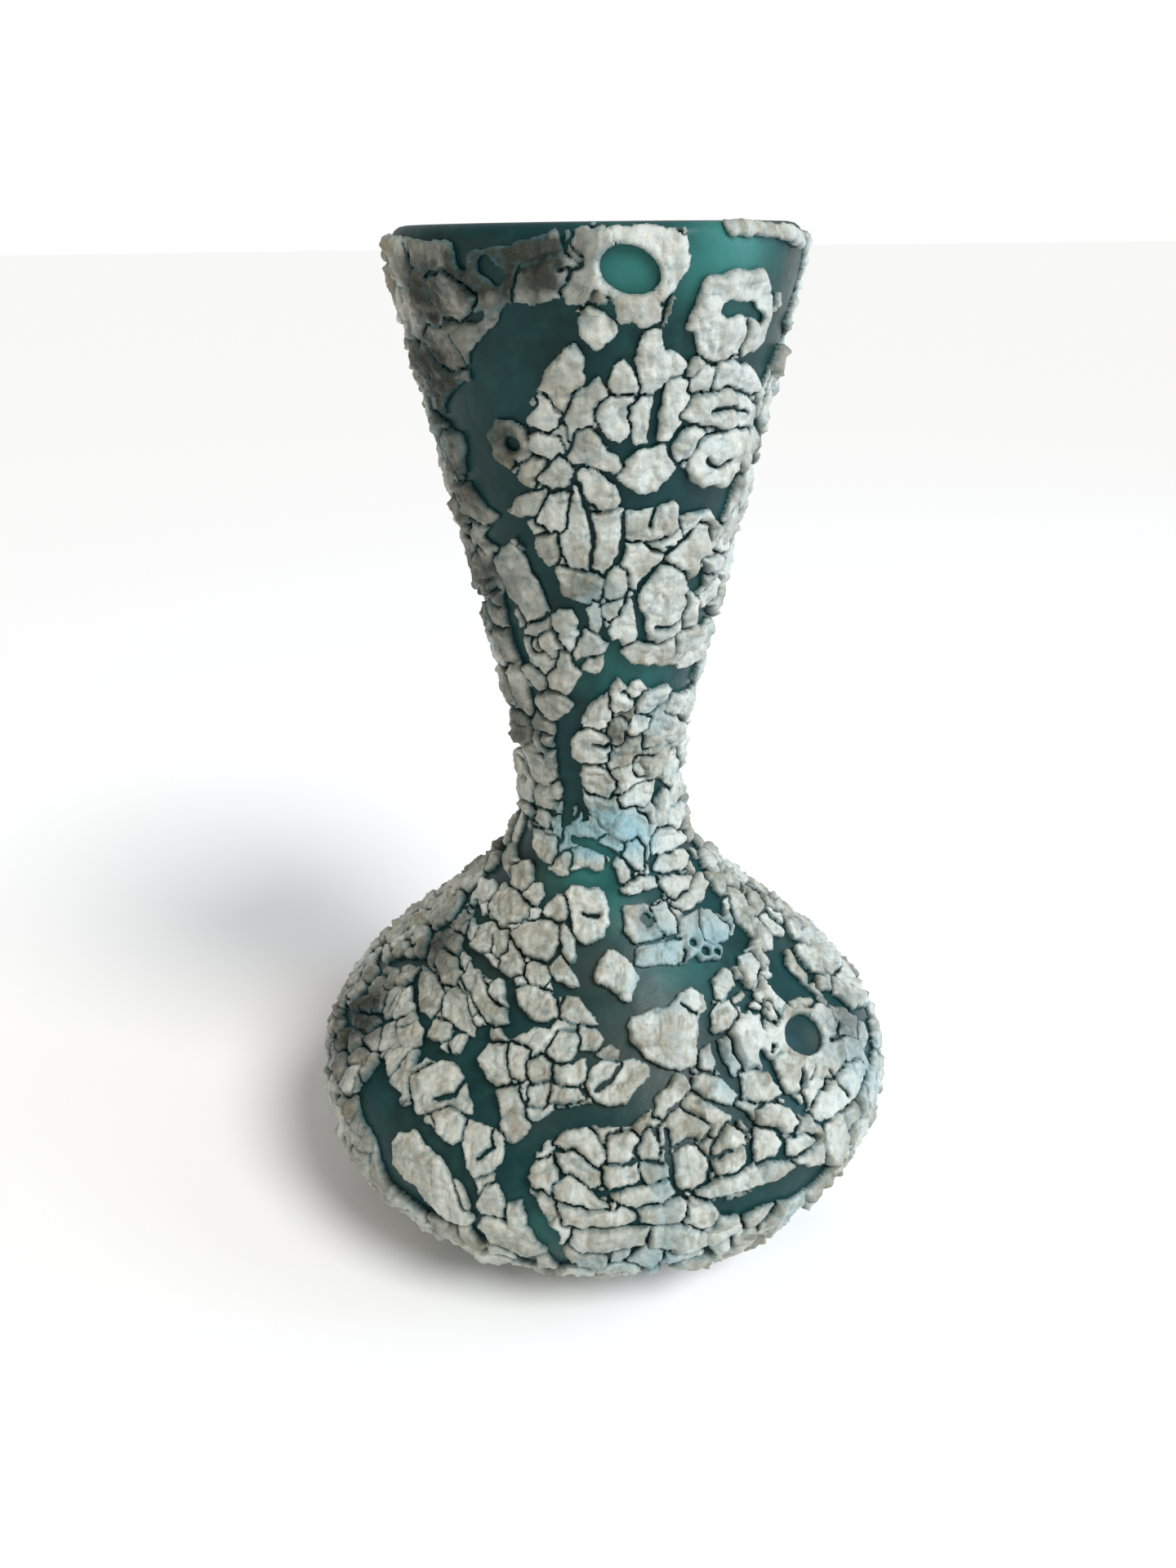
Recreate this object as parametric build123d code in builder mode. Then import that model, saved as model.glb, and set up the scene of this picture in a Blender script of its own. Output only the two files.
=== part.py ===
"""Crackled stoneware vase: a thrown clay pot with a green glaze under a thick broken crust.

Millimetres, +Z up. The origin is the centre of the foot ring, on the surface the vase stands on.
The front, with the two round eyes in the crust, faces -Y.
"""
from build123d import *
import math
import os
import random

os.makedirs("parts", exist_ok=True)

# Overall shape, at the outside face of the bare clay
height = 200.0
mouth_radius = 35.0
neck_radius = 15.2
neck_height = 95.0
belly_radius = 61.5
belly_height = 29.0
foot_radius = 30.0
foot_height = 2.5

# Radii of the rounds that join them, outward rounds first
belly_round = 21.0
shoulder_round = 17.0
mouth_round = 30.0
neck_sweep = 35.0
trumpet_sweep = 80.0

# Thicknesses
clay_wall = 4.0
foot_width = 5.0
foot_recess = 1.2
glaze = 0.5
crust_rise = 1.9

# The broken crust
plate_size = 14.0
crack = 0.8
channel = 3.2
raft_size = 34.0
scatter = 0.30
foot_margin = 7.0
pattern = 11

# Round bare spots in the crust, as angle from the front towards +X, height and diameter
mouth_eye_angle = 7.0
mouth_eye_height = 192.0
mouth_eye_size = 8.0
belly_eye_angle = 53.0
belly_eye_height = 49.5
belly_eye_size = 10.0

# Bands that the crust is made in, from the foot up, as the height where each one ends
crust_bands = {
    "crust_underside": belly_height - belly_round / 2,
    "crust_belly": belly_height + shoulder_round * 0.75,
    "crust_shoulder": neck_height - neck_sweep * 0.75,
    "crust_neck": neck_height + trumpet_sweep / 5,
    "crust_trumpet": (neck_height + height) / 2,
    "crust_mouth": height,
}


# ---- Outline of the wall ----
def touching_angle(outward_centre, inward_centre, radii, side):
    """Angle, in degrees, of the outward normal of the straight run that joins two rounds.

    The run touches an outward round and an inward one. side is 1 or -1 and picks which of the
    two crossing tangents is meant.
    """
    dx = inward_centre[0] - outward_centre[0]
    dz = inward_centre[1] - outward_centre[1]
    spread = math.degrees(math.acos(radii / math.hypot(dx, dz)))
    return math.degrees(math.atan2(dz, dx)) + side * spread


lip_radius = clay_wall / 2
lip_height = height - glaze - lip_radius
belly_centre = (belly_radius - belly_round, belly_height)
shoulder_centre = (belly_radius - shoulder_round, belly_height)
neck_centre = (neck_radius + neck_sweep, neck_height)
trumpet_centre = (neck_radius + trumpet_sweep, neck_height)
mouth_centre = (mouth_radius - mouth_round, lip_height)

shoulder_angle = touching_angle(shoulder_centre, neck_centre, shoulder_round + neck_sweep, -1)
trumpet_angle = touching_angle(mouth_centre, trumpet_centre, mouth_round + trumpet_sweep, 1)
underside_angle = touching_angle(belly_centre, (foot_radius, foot_height), belly_round, 1)


def along(centre, angle, radius):
    """Point (radius from the axis, height) at a distance and an angle from a centre."""
    turn = math.radians(angle)
    return (centre[0] + radius * math.cos(turn), centre[1] + radius * math.sin(turn))


def foot_corner(offset, margin):
    """Lower end of an outline that lies offset outside the clay, margin up from the foot."""
    corner = along((foot_radius, foot_height), underside_angle, offset)
    return along(corner, underside_angle + 90, margin)


def draw_wall(offset, margin=0.0):
    """Draw the wall's outline in the open BuildLine, offset outside the clay, up to the lip."""
    Line(foot_corner(offset, margin), along(belly_centre, underside_angle, belly_round + offset))
    CenterArc(belly_centre, belly_round + offset, underside_angle, -underside_angle)
    CenterArc(shoulder_centre, shoulder_round + offset, 0, shoulder_angle)
    Line(
        along(shoulder_centre, shoulder_angle, shoulder_round + offset),
        along(neck_centre, shoulder_angle, offset - neck_sweep),
    )
    CenterArc(neck_centre, neck_sweep - offset, 180 + shoulder_angle, -shoulder_angle)
    CenterArc(trumpet_centre, trumpet_sweep - offset, 180, trumpet_angle)
    Line(
        along(trumpet_centre, trumpet_angle, offset - trumpet_sweep),
        along(mouth_centre, trumpet_angle, mouth_round + offset),
    )
    CenterArc(mouth_centre, mouth_round + offset, trumpet_angle, -trumpet_angle)


lip_centre = (mouth_radius - lip_radius, lip_height)
lip_crown = (lip_centre[0], lip_height + lip_radius)
glazed_crown = (lip_centre[0], height)
cavity_floor = foot_corner(-clay_wall, 0)
lined_floor = foot_corner(-clay_wall - glaze, 0)

# ---- Clay body: hollow, with a rounded lip and a turned foot ring ----
with BuildPart() as clay_body:
    with BuildSketch(Plane.XZ):
        with BuildLine():
            draw_wall(0)
            CenterArc(lip_centre, lip_radius, 0, 180)
            draw_wall(-clay_wall)
            Polyline(
                cavity_floor,
                (0, cavity_floor[1]),
                (0, foot_recess),
                (foot_radius - foot_width, foot_recess),
                (foot_radius - foot_width, 0),
                (foot_radius, 0),
                (foot_radius, foot_height),
            )
        make_face()
    revolve(axis=Axis.Z)
clay_body.part.label = "clay_body"
export_step(clay_body.part, "parts/clay_body.step")

# ---- Green glaze over the outside, from the foot ring to the crown of the lip ----
with BuildPart() as green_coat:
    with BuildSketch(Plane.XZ):
        with BuildLine():
            draw_wall(0)
            draw_wall(glaze)
            Line(foot_corner(0, 0), foot_corner(glaze, 0))
            CenterArc(lip_centre, lip_radius, 0, 90)
            CenterArc(lip_centre, lip_radius + glaze, 0, 90)
            Line(lip_crown, glazed_crown)
        make_face()
    revolve(axis=Axis.Z)
green_coat.part.label = "green_coat"
export_step(green_coat.part, "parts/green_coat.step")

# ---- Lining glaze over the inside and the inner floor ----
with BuildPart() as inner_lining:
    with BuildSketch(Plane.XZ):
        with BuildLine():
            draw_wall(-clay_wall)
            draw_wall(-clay_wall - glaze)
            CenterArc(lip_centre, lip_radius, 90, 90)
            CenterArc(lip_centre, lip_radius + glaze, 90, 90)
            Line(lip_crown, glazed_crown)
            Polyline(cavity_floor, (0, cavity_floor[1]), (0, lined_floor[1]), lined_floor)
        make_face()
    revolve(axis=Axis.Z)
inner_lining.part.label = "inner_lining"
export_step(inner_lining.part, "parts/inner_lining.step")


# ---- Crust: plates of thick glaze, parted by cracks and by wider channels ----
with BuildPart() as crust_shell:
    with BuildSketch(Plane.XZ):
        with BuildLine():
            draw_wall(glaze, foot_margin)
            draw_wall(glaze + crust_rise, foot_margin)
            Line(foot_corner(glaze, foot_margin), foot_corner(glaze + crust_rise, foot_margin))
            Line(
                (mouth_radius + glaze, lip_height),
                (mouth_radius + glaze + crust_rise, lip_height),
            )
        make_face()
    revolve(axis=Axis.Z)

with BuildLine() as crust_middle:
    draw_wall(glaze + crust_rise / 2, foot_margin)
outline = crust_middle.wire()


def wall_plane(distance, angle):
    """Plane on the crust, distance along the outline and angle from the front, facing out."""
    spot = outline.position_at(distance, position_mode=PositionMode.LENGTH)
    run = outline.tangent_at(distance, position_mode=PositionMode.LENGTH)
    outward = Vector(0, -1, 0).rotate(Axis.Z, angle)
    return Plane(
        origin=outward * spot.X + Vector(0, 0, spot.Y),
        x_dir=Vector(1, 0, 0).rotate(Axis.Z, angle),
        z_dir=outward * run.Y - Vector(0, 0, run.X),
    )


def girth_at(distance):
    """Length once round the crust, distance along the outline."""
    return 2 * math.pi * outline.position_at(distance, position_mode=PositionMode.LENGTH).X


def distance_at(level):
    """Distance along the outline where it passes a height."""
    low = 0.0
    high = outline.length
    while high - low > 0.01:
        middle = (low + high) / 2
        if outline.position_at(middle, position_mode=PositionMode.LENGTH).Y < level:
            low = middle
        else:
            high = middle
    return (low + high) / 2


def scattered_planes(size, dice):
    """Planes about size apart all over the crust, in rows round the pot, each one nudged."""
    rows = round(outline.length / size)
    planes = []
    for row in range(rows):
        distance = (row + 0.5) * outline.length / rows
        count = max(4, round(girth_at(distance) / size))
        for place in range(count):
            around = place + 0.5 * (row % 2) + dice.uniform(-scatter, scatter)
            lift = dice.uniform(-scatter, scatter) * size
            planes.append(wall_plane(distance + lift, around * 360 / count))
    return planes


def cut_plate(number):
    """One plate of crust: the shell round one plane, cut half-way to each plane near it."""
    here = plate_planes[number]
    block = here * Box(3 * plate_size, 3 * plate_size, 6 * crust_rise)
    for other, there in enumerate(plate_planes):
        step = there.origin - here.origin
        if other == number or step.length > 2.5 * plate_size:
            continue
        gap = crack if rafts[other] == rafts[number] else channel
        edge = here.origin + step * (0.5 - gap / 2 / step.length)
        block = split(block, bisect_by=Plane(origin=edge, z_dir=step), keep=Keep.BOTTOM)
    return crust_shell.part & block


dice = random.Random(pattern)
raft_planes = scattered_planes(raft_size, dice)
plate_planes = scattered_planes(plate_size, dice)
rafts = [
    min(range(len(raft_planes)), key=lambda raft: (plane.origin - raft_planes[raft].origin).length)
    for plane in plate_planes
]
mouth_eye = wall_plane(distance_at(mouth_eye_height), mouth_eye_angle)
belly_eye = wall_plane(distance_at(belly_eye_height), belly_eye_angle)

floor_of_band = 0.0
for band, top_of_band in crust_bands.items():
    plates = [
        cut_plate(number)
        for number, plane in enumerate(plate_planes)
        if floor_of_band <= plane.origin.Z < top_of_band
    ]
    with BuildPart() as crust:
        add(plates)
        with Locations(mouth_eye):
            Cylinder(mouth_eye_size / 2, 6 * crust_rise, mode=Mode.SUBTRACT)
        with Locations(belly_eye):
            Cylinder(belly_eye_size / 2, 6 * crust_rise, mode=Mode.SUBTRACT)
    crust.part.label = band
    export_step(crust.part, f"parts/{band}.step")
    floor_of_band = top_of_band
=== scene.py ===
"""Crackled stoneware vase: a green pot under a thick cream crust that has broken into plates.

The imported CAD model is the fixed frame. The crust's plates and the green coat are surfaces worked
out with numpy; the clay and the lining keep their CAD shape. The crust is worked out in
millimetres over two coordinates: the angle round the pot, from the front towards +X, and the
distance along its outline. Blender gets metres.
"""

import logging
import math
from dataclasses import dataclass, field
from enum import Enum

import bpy
import numpy as np
from mathutils import Euler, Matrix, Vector


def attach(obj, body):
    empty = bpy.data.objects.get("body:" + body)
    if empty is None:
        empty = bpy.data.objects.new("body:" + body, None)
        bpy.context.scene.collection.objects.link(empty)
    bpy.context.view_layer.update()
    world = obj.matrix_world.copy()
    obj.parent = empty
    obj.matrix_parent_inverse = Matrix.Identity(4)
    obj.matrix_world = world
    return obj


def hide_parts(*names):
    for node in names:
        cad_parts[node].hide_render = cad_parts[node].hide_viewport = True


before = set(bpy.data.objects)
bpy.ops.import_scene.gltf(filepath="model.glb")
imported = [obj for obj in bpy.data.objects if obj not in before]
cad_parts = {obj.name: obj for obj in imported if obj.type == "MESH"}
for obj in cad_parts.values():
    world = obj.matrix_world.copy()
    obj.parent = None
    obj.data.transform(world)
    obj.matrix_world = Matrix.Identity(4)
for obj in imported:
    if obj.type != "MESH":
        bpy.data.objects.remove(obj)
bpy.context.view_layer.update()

MM = 0.001
log = logging.getLogger("vase")


# ---------------------------------------------------------------- outline
@dataclass(frozen=True)
class Outline:
    """Outside of the bare clay as rounds joined by straight runs, in mm, as the CAD has it."""

    height: float = 200.0
    mouth_radius: float = 35.0
    neck_radius: float = 15.2
    neck_height: float = 95.0
    belly_radius: float = 61.5
    belly_height: float = 29.0
    foot_radius: float = 30.0
    foot_height: float = 2.5
    belly_round: float = 21.0
    shoulder_round: float = 17.0
    mouth_round: float = 30.0
    neck_sweep: float = 35.0
    trumpet_sweep: float = 80.0
    clay_wall: float = 4.0
    glaze: float = 0.5
    step: float = 0.1

    @staticmethod
    def touching_angle(outward: tuple, inward: tuple, radii: float, side: int) -> float:
        """Angle of the normal of the straight run between an outward and an inward round.

        Args:
            outward: centre of the outward round, as radius and height.
            inward: centre of the inward round.
            radii: sum of the two radii.
            side: 1 or -1, which crossing tangent is meant.

        Returns:
            The angle in radians.
        """
        dx, dz = inward[0] - outward[0], inward[1] - outward[1]
        return math.atan2(dz, dx) + side * math.acos(radii / math.hypot(dx, dz))

    def arc(self, centre: tuple, radius: float, start: float, end: float, bulge: int) -> np.ndarray:
        """Points and normals on a round: centre plus radius times cosine and sine of an angle.

        Args:
            centre: centre as radius and height.
            radius: radius of the round.
            start: first angle in radians.
            end: last angle in radians.
            bulge: 1 where the pot bulges outward, -1 where it is waisted.

        Returns:
            Rows of radius, height and the two parts of the outward normal.
        """
        count = max(3, int(abs(end - start) * radius / self.step))
        turn = np.linspace(start, end, count)
        cos, sin = np.cos(turn), np.sin(turn)
        return np.stack(
            [centre[0] + radius * cos, centre[1] + radius * sin, bulge * cos, bulge * sin], axis=1
        )

    def rows(self, offset: float, over_lip: float) -> np.ndarray:
        """The whole outline, offset outside the clay, from the foot over the lip.

        Args:
            offset: distance outside the clay's face.
            over_lip: how far round the lip to go, in radians; half a turn reaches the inside.

        Returns:
            Rows of radius, height and normal, from the foot up.
        """
        lip = self.clay_wall / 2
        lip_height = self.height - self.glaze - lip
        belly = (self.belly_radius - self.belly_round, self.belly_height)
        shoulder = (self.belly_radius - self.shoulder_round, self.belly_height)
        neck = (self.neck_radius + self.neck_sweep, self.neck_height)
        trumpet = (self.neck_radius + self.trumpet_sweep, self.neck_height)
        mouth = (self.mouth_radius - self.mouth_round, lip_height)
        foot = (self.foot_radius, self.foot_height)
        under = self.touching_angle(belly, foot, self.belly_round, 1)
        slope = self.touching_angle(shoulder, neck, self.shoulder_round + self.neck_sweep, -1)
        flare = self.touching_angle(mouth, trumpet, self.mouth_round + self.trumpet_sweep, 1)
        corner = np.array(
            [[foot[0] + offset * math.cos(under), foot[1] + offset * math.sin(under),
              math.cos(under), math.sin(under)]]
        )
        half = math.pi
        pieces = [
            corner,
            self.arc(belly, self.belly_round + offset, under, 0, 1),
            self.arc(shoulder, self.shoulder_round + offset, 0, slope, 1),
            self.arc(neck, self.neck_sweep - offset, half + slope, half, -1),
            self.arc(trumpet, self.trumpet_sweep - offset, half, half + flare, -1),
            self.arc(mouth, self.mouth_round + offset, flare, 0, 1),
            self.arc((self.mouth_radius - lip, lip_height), lip + offset, 0, over_lip, 1),
        ]
        return np.concatenate(pieces)


class Wall:
    """A face of the pot's wall, found by the distance along it and the angle round the pot."""

    def __init__(self, rows: np.ndarray, rise: float = 0.0) -> None:
        """Keep the rows of an outline, without repeated points, and the distance along them.

        Args:
            rows: radius, height and normal, from the foot up.
            rise: levels are told on a face this far outside the wall, in mm.
        """
        run = np.hypot(np.diff(rows[:, 0]), np.diff(rows[:, 1]))
        fresh = np.concatenate([[True], run > 1e-6])
        self.rows = rows[fresh]
        run = np.hypot(np.diff(self.rows[:, 0]), np.diff(self.rows[:, 1]))
        self.run = np.concatenate([[0.0], np.cumsum(run)])
        self.length = float(self.run[-1])
        self.levels = self.rows[:, 1] + rise * self.rows[:, 3]

    def at(self, distance: np.ndarray) -> np.ndarray:
        """Radius, height and unit normal at distances along the wall.

        Args:
            distance: distances in mm.

        Returns:
            The four parts, stacked on a new first axis.
        """
        found = np.stack([np.interp(distance, self.run, column) for column in self.rows.T])
        found[2:] /= np.hypot(found[2], found[3])
        return found

    def distance_at(self, level: np.ndarray) -> np.ndarray:
        """Distance along the wall at which its levels pass a height, up to the lip's crown."""
        crown = int(np.argmax(self.levels)) + 1
        return np.interp(level, self.levels[:crown], self.run[:crown])

    def place(self, angle: np.ndarray, distance: np.ndarray, lift: np.ndarray) -> np.ndarray:
        """Points of the wall in space.

        The radius and the height, moved lift along the normal, are turned round the axis: x is
        the radius times the sine of the angle, and y is minus the radius times its cosine.

        Args:
            angle: angle from the front in radians.
            distance: distance along the wall in mm.
            lift: height above the wall in mm.

        Returns:
            Points in mm, on a new last axis.
        """
        radius, level, out, up = self.at(distance)
        reach = radius + out * lift
        return np.stack([reach * np.sin(angle), -reach * np.cos(angle), level + up * lift], axis=-1)


# ---------------------------------------------------------------- chance
def speckle(points: np.ndarray, size: float, seed: int) -> np.ndarray:
    """Smooth noise from -1 to 1: chance values on a cubic lattice, eased between its corners.

    Args:
        points: points in mm, on the last axis.
        size: spacing of the lattice in mm.
        seed: picks the chance values.

    Returns:
        One value for each point.
    """
    scaled = points / size + 71.3 + 17.1 * seed
    base = np.floor(scaled).astype(np.int64)
    part = scaled - base
    part = part * part * (3.0 - 2.0 * part)
    total = np.zeros(points.shape[:-1])
    for corner in range(8):
        step = np.array([corner & 1, corner >> 1 & 1, corner >> 2 & 1])
        key = (base + step) * np.array([73856093, 19349663, 83492791])
        mixed = (key[..., 0] ^ key[..., 1] ^ key[..., 2] ^ seed * 2654435761) & 0xFFFFFFFF
        mixed = ((mixed ^ mixed >> 15) * 0x2C1B3C6D) & 0xFFFFFFFF
        mixed = ((mixed ^ mixed >> 12) * 0x297A2D39) & 0xFFFFFFFF
        value = (mixed ^ mixed >> 15) / 2147483647.5 - 1.0
        total += value * np.prod(np.where(step == 1, part, 1.0 - part), axis=-1)
    return total


def ease(low: float, high: float, value: np.ndarray) -> np.ndarray:
    """Rise from 0 at low to 1 at high with no corner: 3t squared less 2t cubed."""
    part = np.clip((value - low) / (high - low), 0.0, 1.0)
    return part * part * (3.0 - 2.0 * part)


def soft_spots(points: np.ndarray, wall: Wall, tints: tuple) -> np.ndarray:
    """Strongest of some soft round spots: each falls off as a bell curve of the distance.

    Args:
        points: points in mm, on the last axis.
        wall: the wall that the spots lie on.
        tints: the spots.

    Returns:
        One value from 0 to 1 for each point.
    """
    total = np.zeros(points.shape[:-1])
    for tint in tints:
        run = wall.distance_at(np.array(tint.level, dtype=float))
        centre = wall.place(np.array(math.radians(tint.angle)), run, np.array(0.0))
        away = ((points - centre) ** 2).sum(-1)
        total = np.maximum(total, tint.strength * np.exp(-away / tint.reach**2))
    return total


# ---------------------------------------------------------------- what lies where on the front
class Mark(Enum):
    """What a stroke on the pot does to the crust."""

    BARE = "bare"
    CRUST = "crust"
    CRACK = "crack"


@dataclass(frozen=True)
class Stroke:
    """A line on the pot along which the crust is missing, or there, or cracked.

    The points are an angle in degrees from the front and a height in mm. The width is in mm.
    """

    mark: Mark
    width: float
    points: tuple


@dataclass(frozen=True)
class Patch:
    """An outlined plate or bare pool: its tone, -1 white to 1 brown, and its corners.

    The corners are an angle in degrees from the front and a height in mm.
    """

    tone: float
    points: tuple


@dataclass(frozen=True)
class Eye:
    """A round bare spot with a raised rim: angle in degrees, then mm; the tilt is in degrees."""

    angle: float
    level: float
    wide: float
    tall: float
    tilt: float


@dataclass(frozen=True)
class Tint:
    """A soft spot of colour: angle in degrees, height and reach in mm, and strength."""

    angle: float
    level: float
    reach: float
    strength: float


BARE, CRUST, CRACK = Mark.BARE, Mark.CRUST, Mark.CRACK

EYES = (
    Eye(7.5, 193.2, 9.4, 6.4, -20.0),
    Eye(55.0, 49.4, 11.4, 8.4, -12.0),
    Eye(-28.4, 167.0, 2.8, 2.4, 0.0),
    Eye(41.5, 66.8, 2.0, 1.7, 0.0),
    Eye(46.0, 65.9, 1.8, 1.5, 0.0),
    Eye(38.2, 68.6, 1.7, 1.5, 0.0),
)

RIM_STRIP = Stroke(CRUST, 2.4, ((34, 199.9), (47, 199.6), (56, 198.8), (66, 197)))

# Olive spots on the crust. The three low on the belly's left, at -74, -70 and -52 degrees, are painted
# shade on the side turned away from the light; the rest are stains.
STAINS_AND_SHADE = (
    Tint(-30, 195, 10.0, 1.0), Tint(-50, 190, 10.0, 0.8), Tint(-15, 195, 7.5, 0.9),
    Tint(-55, 176, 12.0, 0.9), Tint(-30, 168, 5.0, 0.7), Tint(-56, 160, 12.0, 0.7),
    Tint(-60, 140, 12.0, 0.7), Tint(-52, 112, 10.0, 0.5), Tint(-74, 45, 14.0, 0.8),
    Tint(-70, 62, 11.0, 0.65), Tint(-52, 38, 9.0, 0.6), Tint(70, 45, 9.0, 0.5), Tint(9, 112, 3.0, 0.6),
    Tint(21, 74, 2.6, 0.6), Tint(160, 60, 18.0, 0.5), Tint(230, 150, 18.0, 0.6),
    Tint(190, 30, 16.0, 0.5), Tint(120, 180, 12.0, 0.5),
)

STROKES = (
    # mouth
    Stroke(CRACK, 2.0, ((35, 187.3), (40, 187.4), (45, 187), (51, 185.2))),
    Stroke(CRACK, 0.8, ((44.4, 185.6), (44, 180))),
    Stroke(BARE, 3.0, ((-37, 198), (-36, 195))),
    Stroke(BARE, 2.6, ((-29, 194), (-26, 192.4))),
    Stroke(CRACK, 1.4, ((17, 175), (16, 168))),
    Stroke(BARE, 2.2, ((26, 168), (20, 167.5), (16, 167.5))),
    Stroke(CRACK, 0.7, ((-9, 162.5), (-6, 158), (-3.4, 153), (-3, 147))),
    Stroke(CRACK, 0.6, ((38, 163.5), (43, 162.2), (50, 163))),
    Stroke(CRACK, 0.6, ((36, 171.5), (45, 172), (55, 170))),
    Stroke(CRACK, 0.6, ((9, 155), (9.4, 150), (6, 146.5))),
    Stroke(CRACK, 0.6, ((18, 152.6), (19, 155.4))),
    # trumpet
    Stroke(BARE, 2.0, ((38, 151.4), (33, 149), (26, 147.6), (21, 144.6), (17, 142.4))),
    Stroke(BARE, 2.5, ((17, 142.4), (14.5, 139), (18, 135), (19, 131))),
    Stroke(BARE, 2.2, ((4, 133.4), (2, 131.8))),
    Stroke(BARE, 3.0, ((-38, 142), (-45, 137), (-44, 130), (-42, 126.5))),
    Stroke(BARE, 2.4, ((-40, 119.6), (-38, 116))),
    Stroke(CRACK, 0.6, ((-23, 136.3), (-28, 135), (-33, 134.3))),
    Stroke(CRACK, 0.6, ((25, 133.4), (32, 133), (38, 133.6))),
    Stroke(CRACK, 0.6, ((-4, 109.5), (2, 109), (5, 109.8))),
    # neck
    Stroke(BARE, 1.5, ((-19, 88.2), (-8, 88), (4, 86.3), (8, 85))),
    Stroke(BARE, 1.6, ((13, 85.4), (17, 84), (17.4, 81.6))),
    Stroke(BARE, 1.4, ((34, 84), (33, 79.6))),
    Stroke(CRACK, 0.7, ((-9, 75.2), (-2, 75.0))),
    Stroke(CRACK, 1.8, ((21.4, 74.2), (22.4, 73.2))),
    Stroke(BARE, 3.2, ((66, 84), (69, 78), (66, 71))),
    Stroke(BARE, 1.8, ((-70, 70), (-60, 69), (-56, 71))),
    Stroke(BARE, 2.2, ((-60, 65), (-48, 64.6), (-40, 63.8))),
    # shoulder and belly: the long S, its branches, and the bands low down
    Stroke(BARE, 4.6, ((-5, 65), (-2, 61.6), (2, 59.2))),
    Stroke(BARE, 4.0, ((2, 59.2), (6, 56.4), (11, 54), (14, 51.5))),
    Stroke(BARE, 3.8, ((15, 51), (10, 51), (4.7, 48.2), (-4, 48.3), (-10, 47.3), (-14, 45.2))),
    Stroke(BARE, 4.4, ((-14, 45.2), (-17.2, 41), (-16.8, 38), (-14, 34.5), (-11.5, 30), (-8, 20))),
    Stroke(BARE, 2.6, ((-42, 42), (-36, 40.8), (-31, 40), (-27.5, 38), (-25, 36.2), (-23.4, 32))),
    Stroke(BARE, 2.2, ((-23.4, 32), (-24, 27), (-22.5, 23))),
    Stroke(BARE, 2.2, ((19, 51.4), (22, 49.4), (25, 47.6), (28.8, 45), (29.5, 42), (27, 39.4))),
    Stroke(BARE, 1.8, ((30, 43), (34, 41), (35, 38), (32, 36.4))),
    Stroke(BARE, 2.4, ((29, 57), (28.6, 52), (30, 48))),
    Stroke(BARE, 2.2, ((39.8, 51), (40, 45), (42, 42))),
    Stroke(BARE, 2.2, ((27, 57.4), (31, 59), (34, 61.4), (35, 65))),
    Stroke(BARE, 1.8, ((40, 60), (46, 60.6), (47, 58.6), (42, 57.2))),
    Stroke(CRACK, 0.9, ((12, 46), (11.5, 43), (12, 38), (14, 35.6))),
    Stroke(CRACK, 0.6, ((-2, 51.4), (2, 53), (4, 54.8))),
    Stroke(CRACK, 0.6, ((24, 61.4), (25.6, 60.4), (27, 59.6))),
    Stroke(CRACK, 0.7, ((-33, 49.8), (-34, 47.4), (-38, 45.6))),
    Stroke(CRACK, 0.6, ((-23, 45), (-22, 42.6), (-24, 40.6))),
    Stroke(CRACK, 0.7, ((42, 57.4), (46.4, 55.6), (48.6, 53.4))),
    Stroke(CRACK, 0.7, ((58, 53.8), (60.6, 57), (64, 58.6))),
    Stroke(CRACK, 0.7, ((47.4, 45.8), (44.6, 44.4), (43.4, 42))),
    Stroke(CRACK, 0.6, ((54.6, 43.4), (53.6, 41), (55.4, 38))),
    Stroke(CRACK, 0.6, ((60.4, 46.6), (64.6, 45), (69, 45.8))),
    Stroke(CRACK, 0.6, ((46.6, 50.4), (44, 51.4), (42.6, 50.6))),
)

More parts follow.
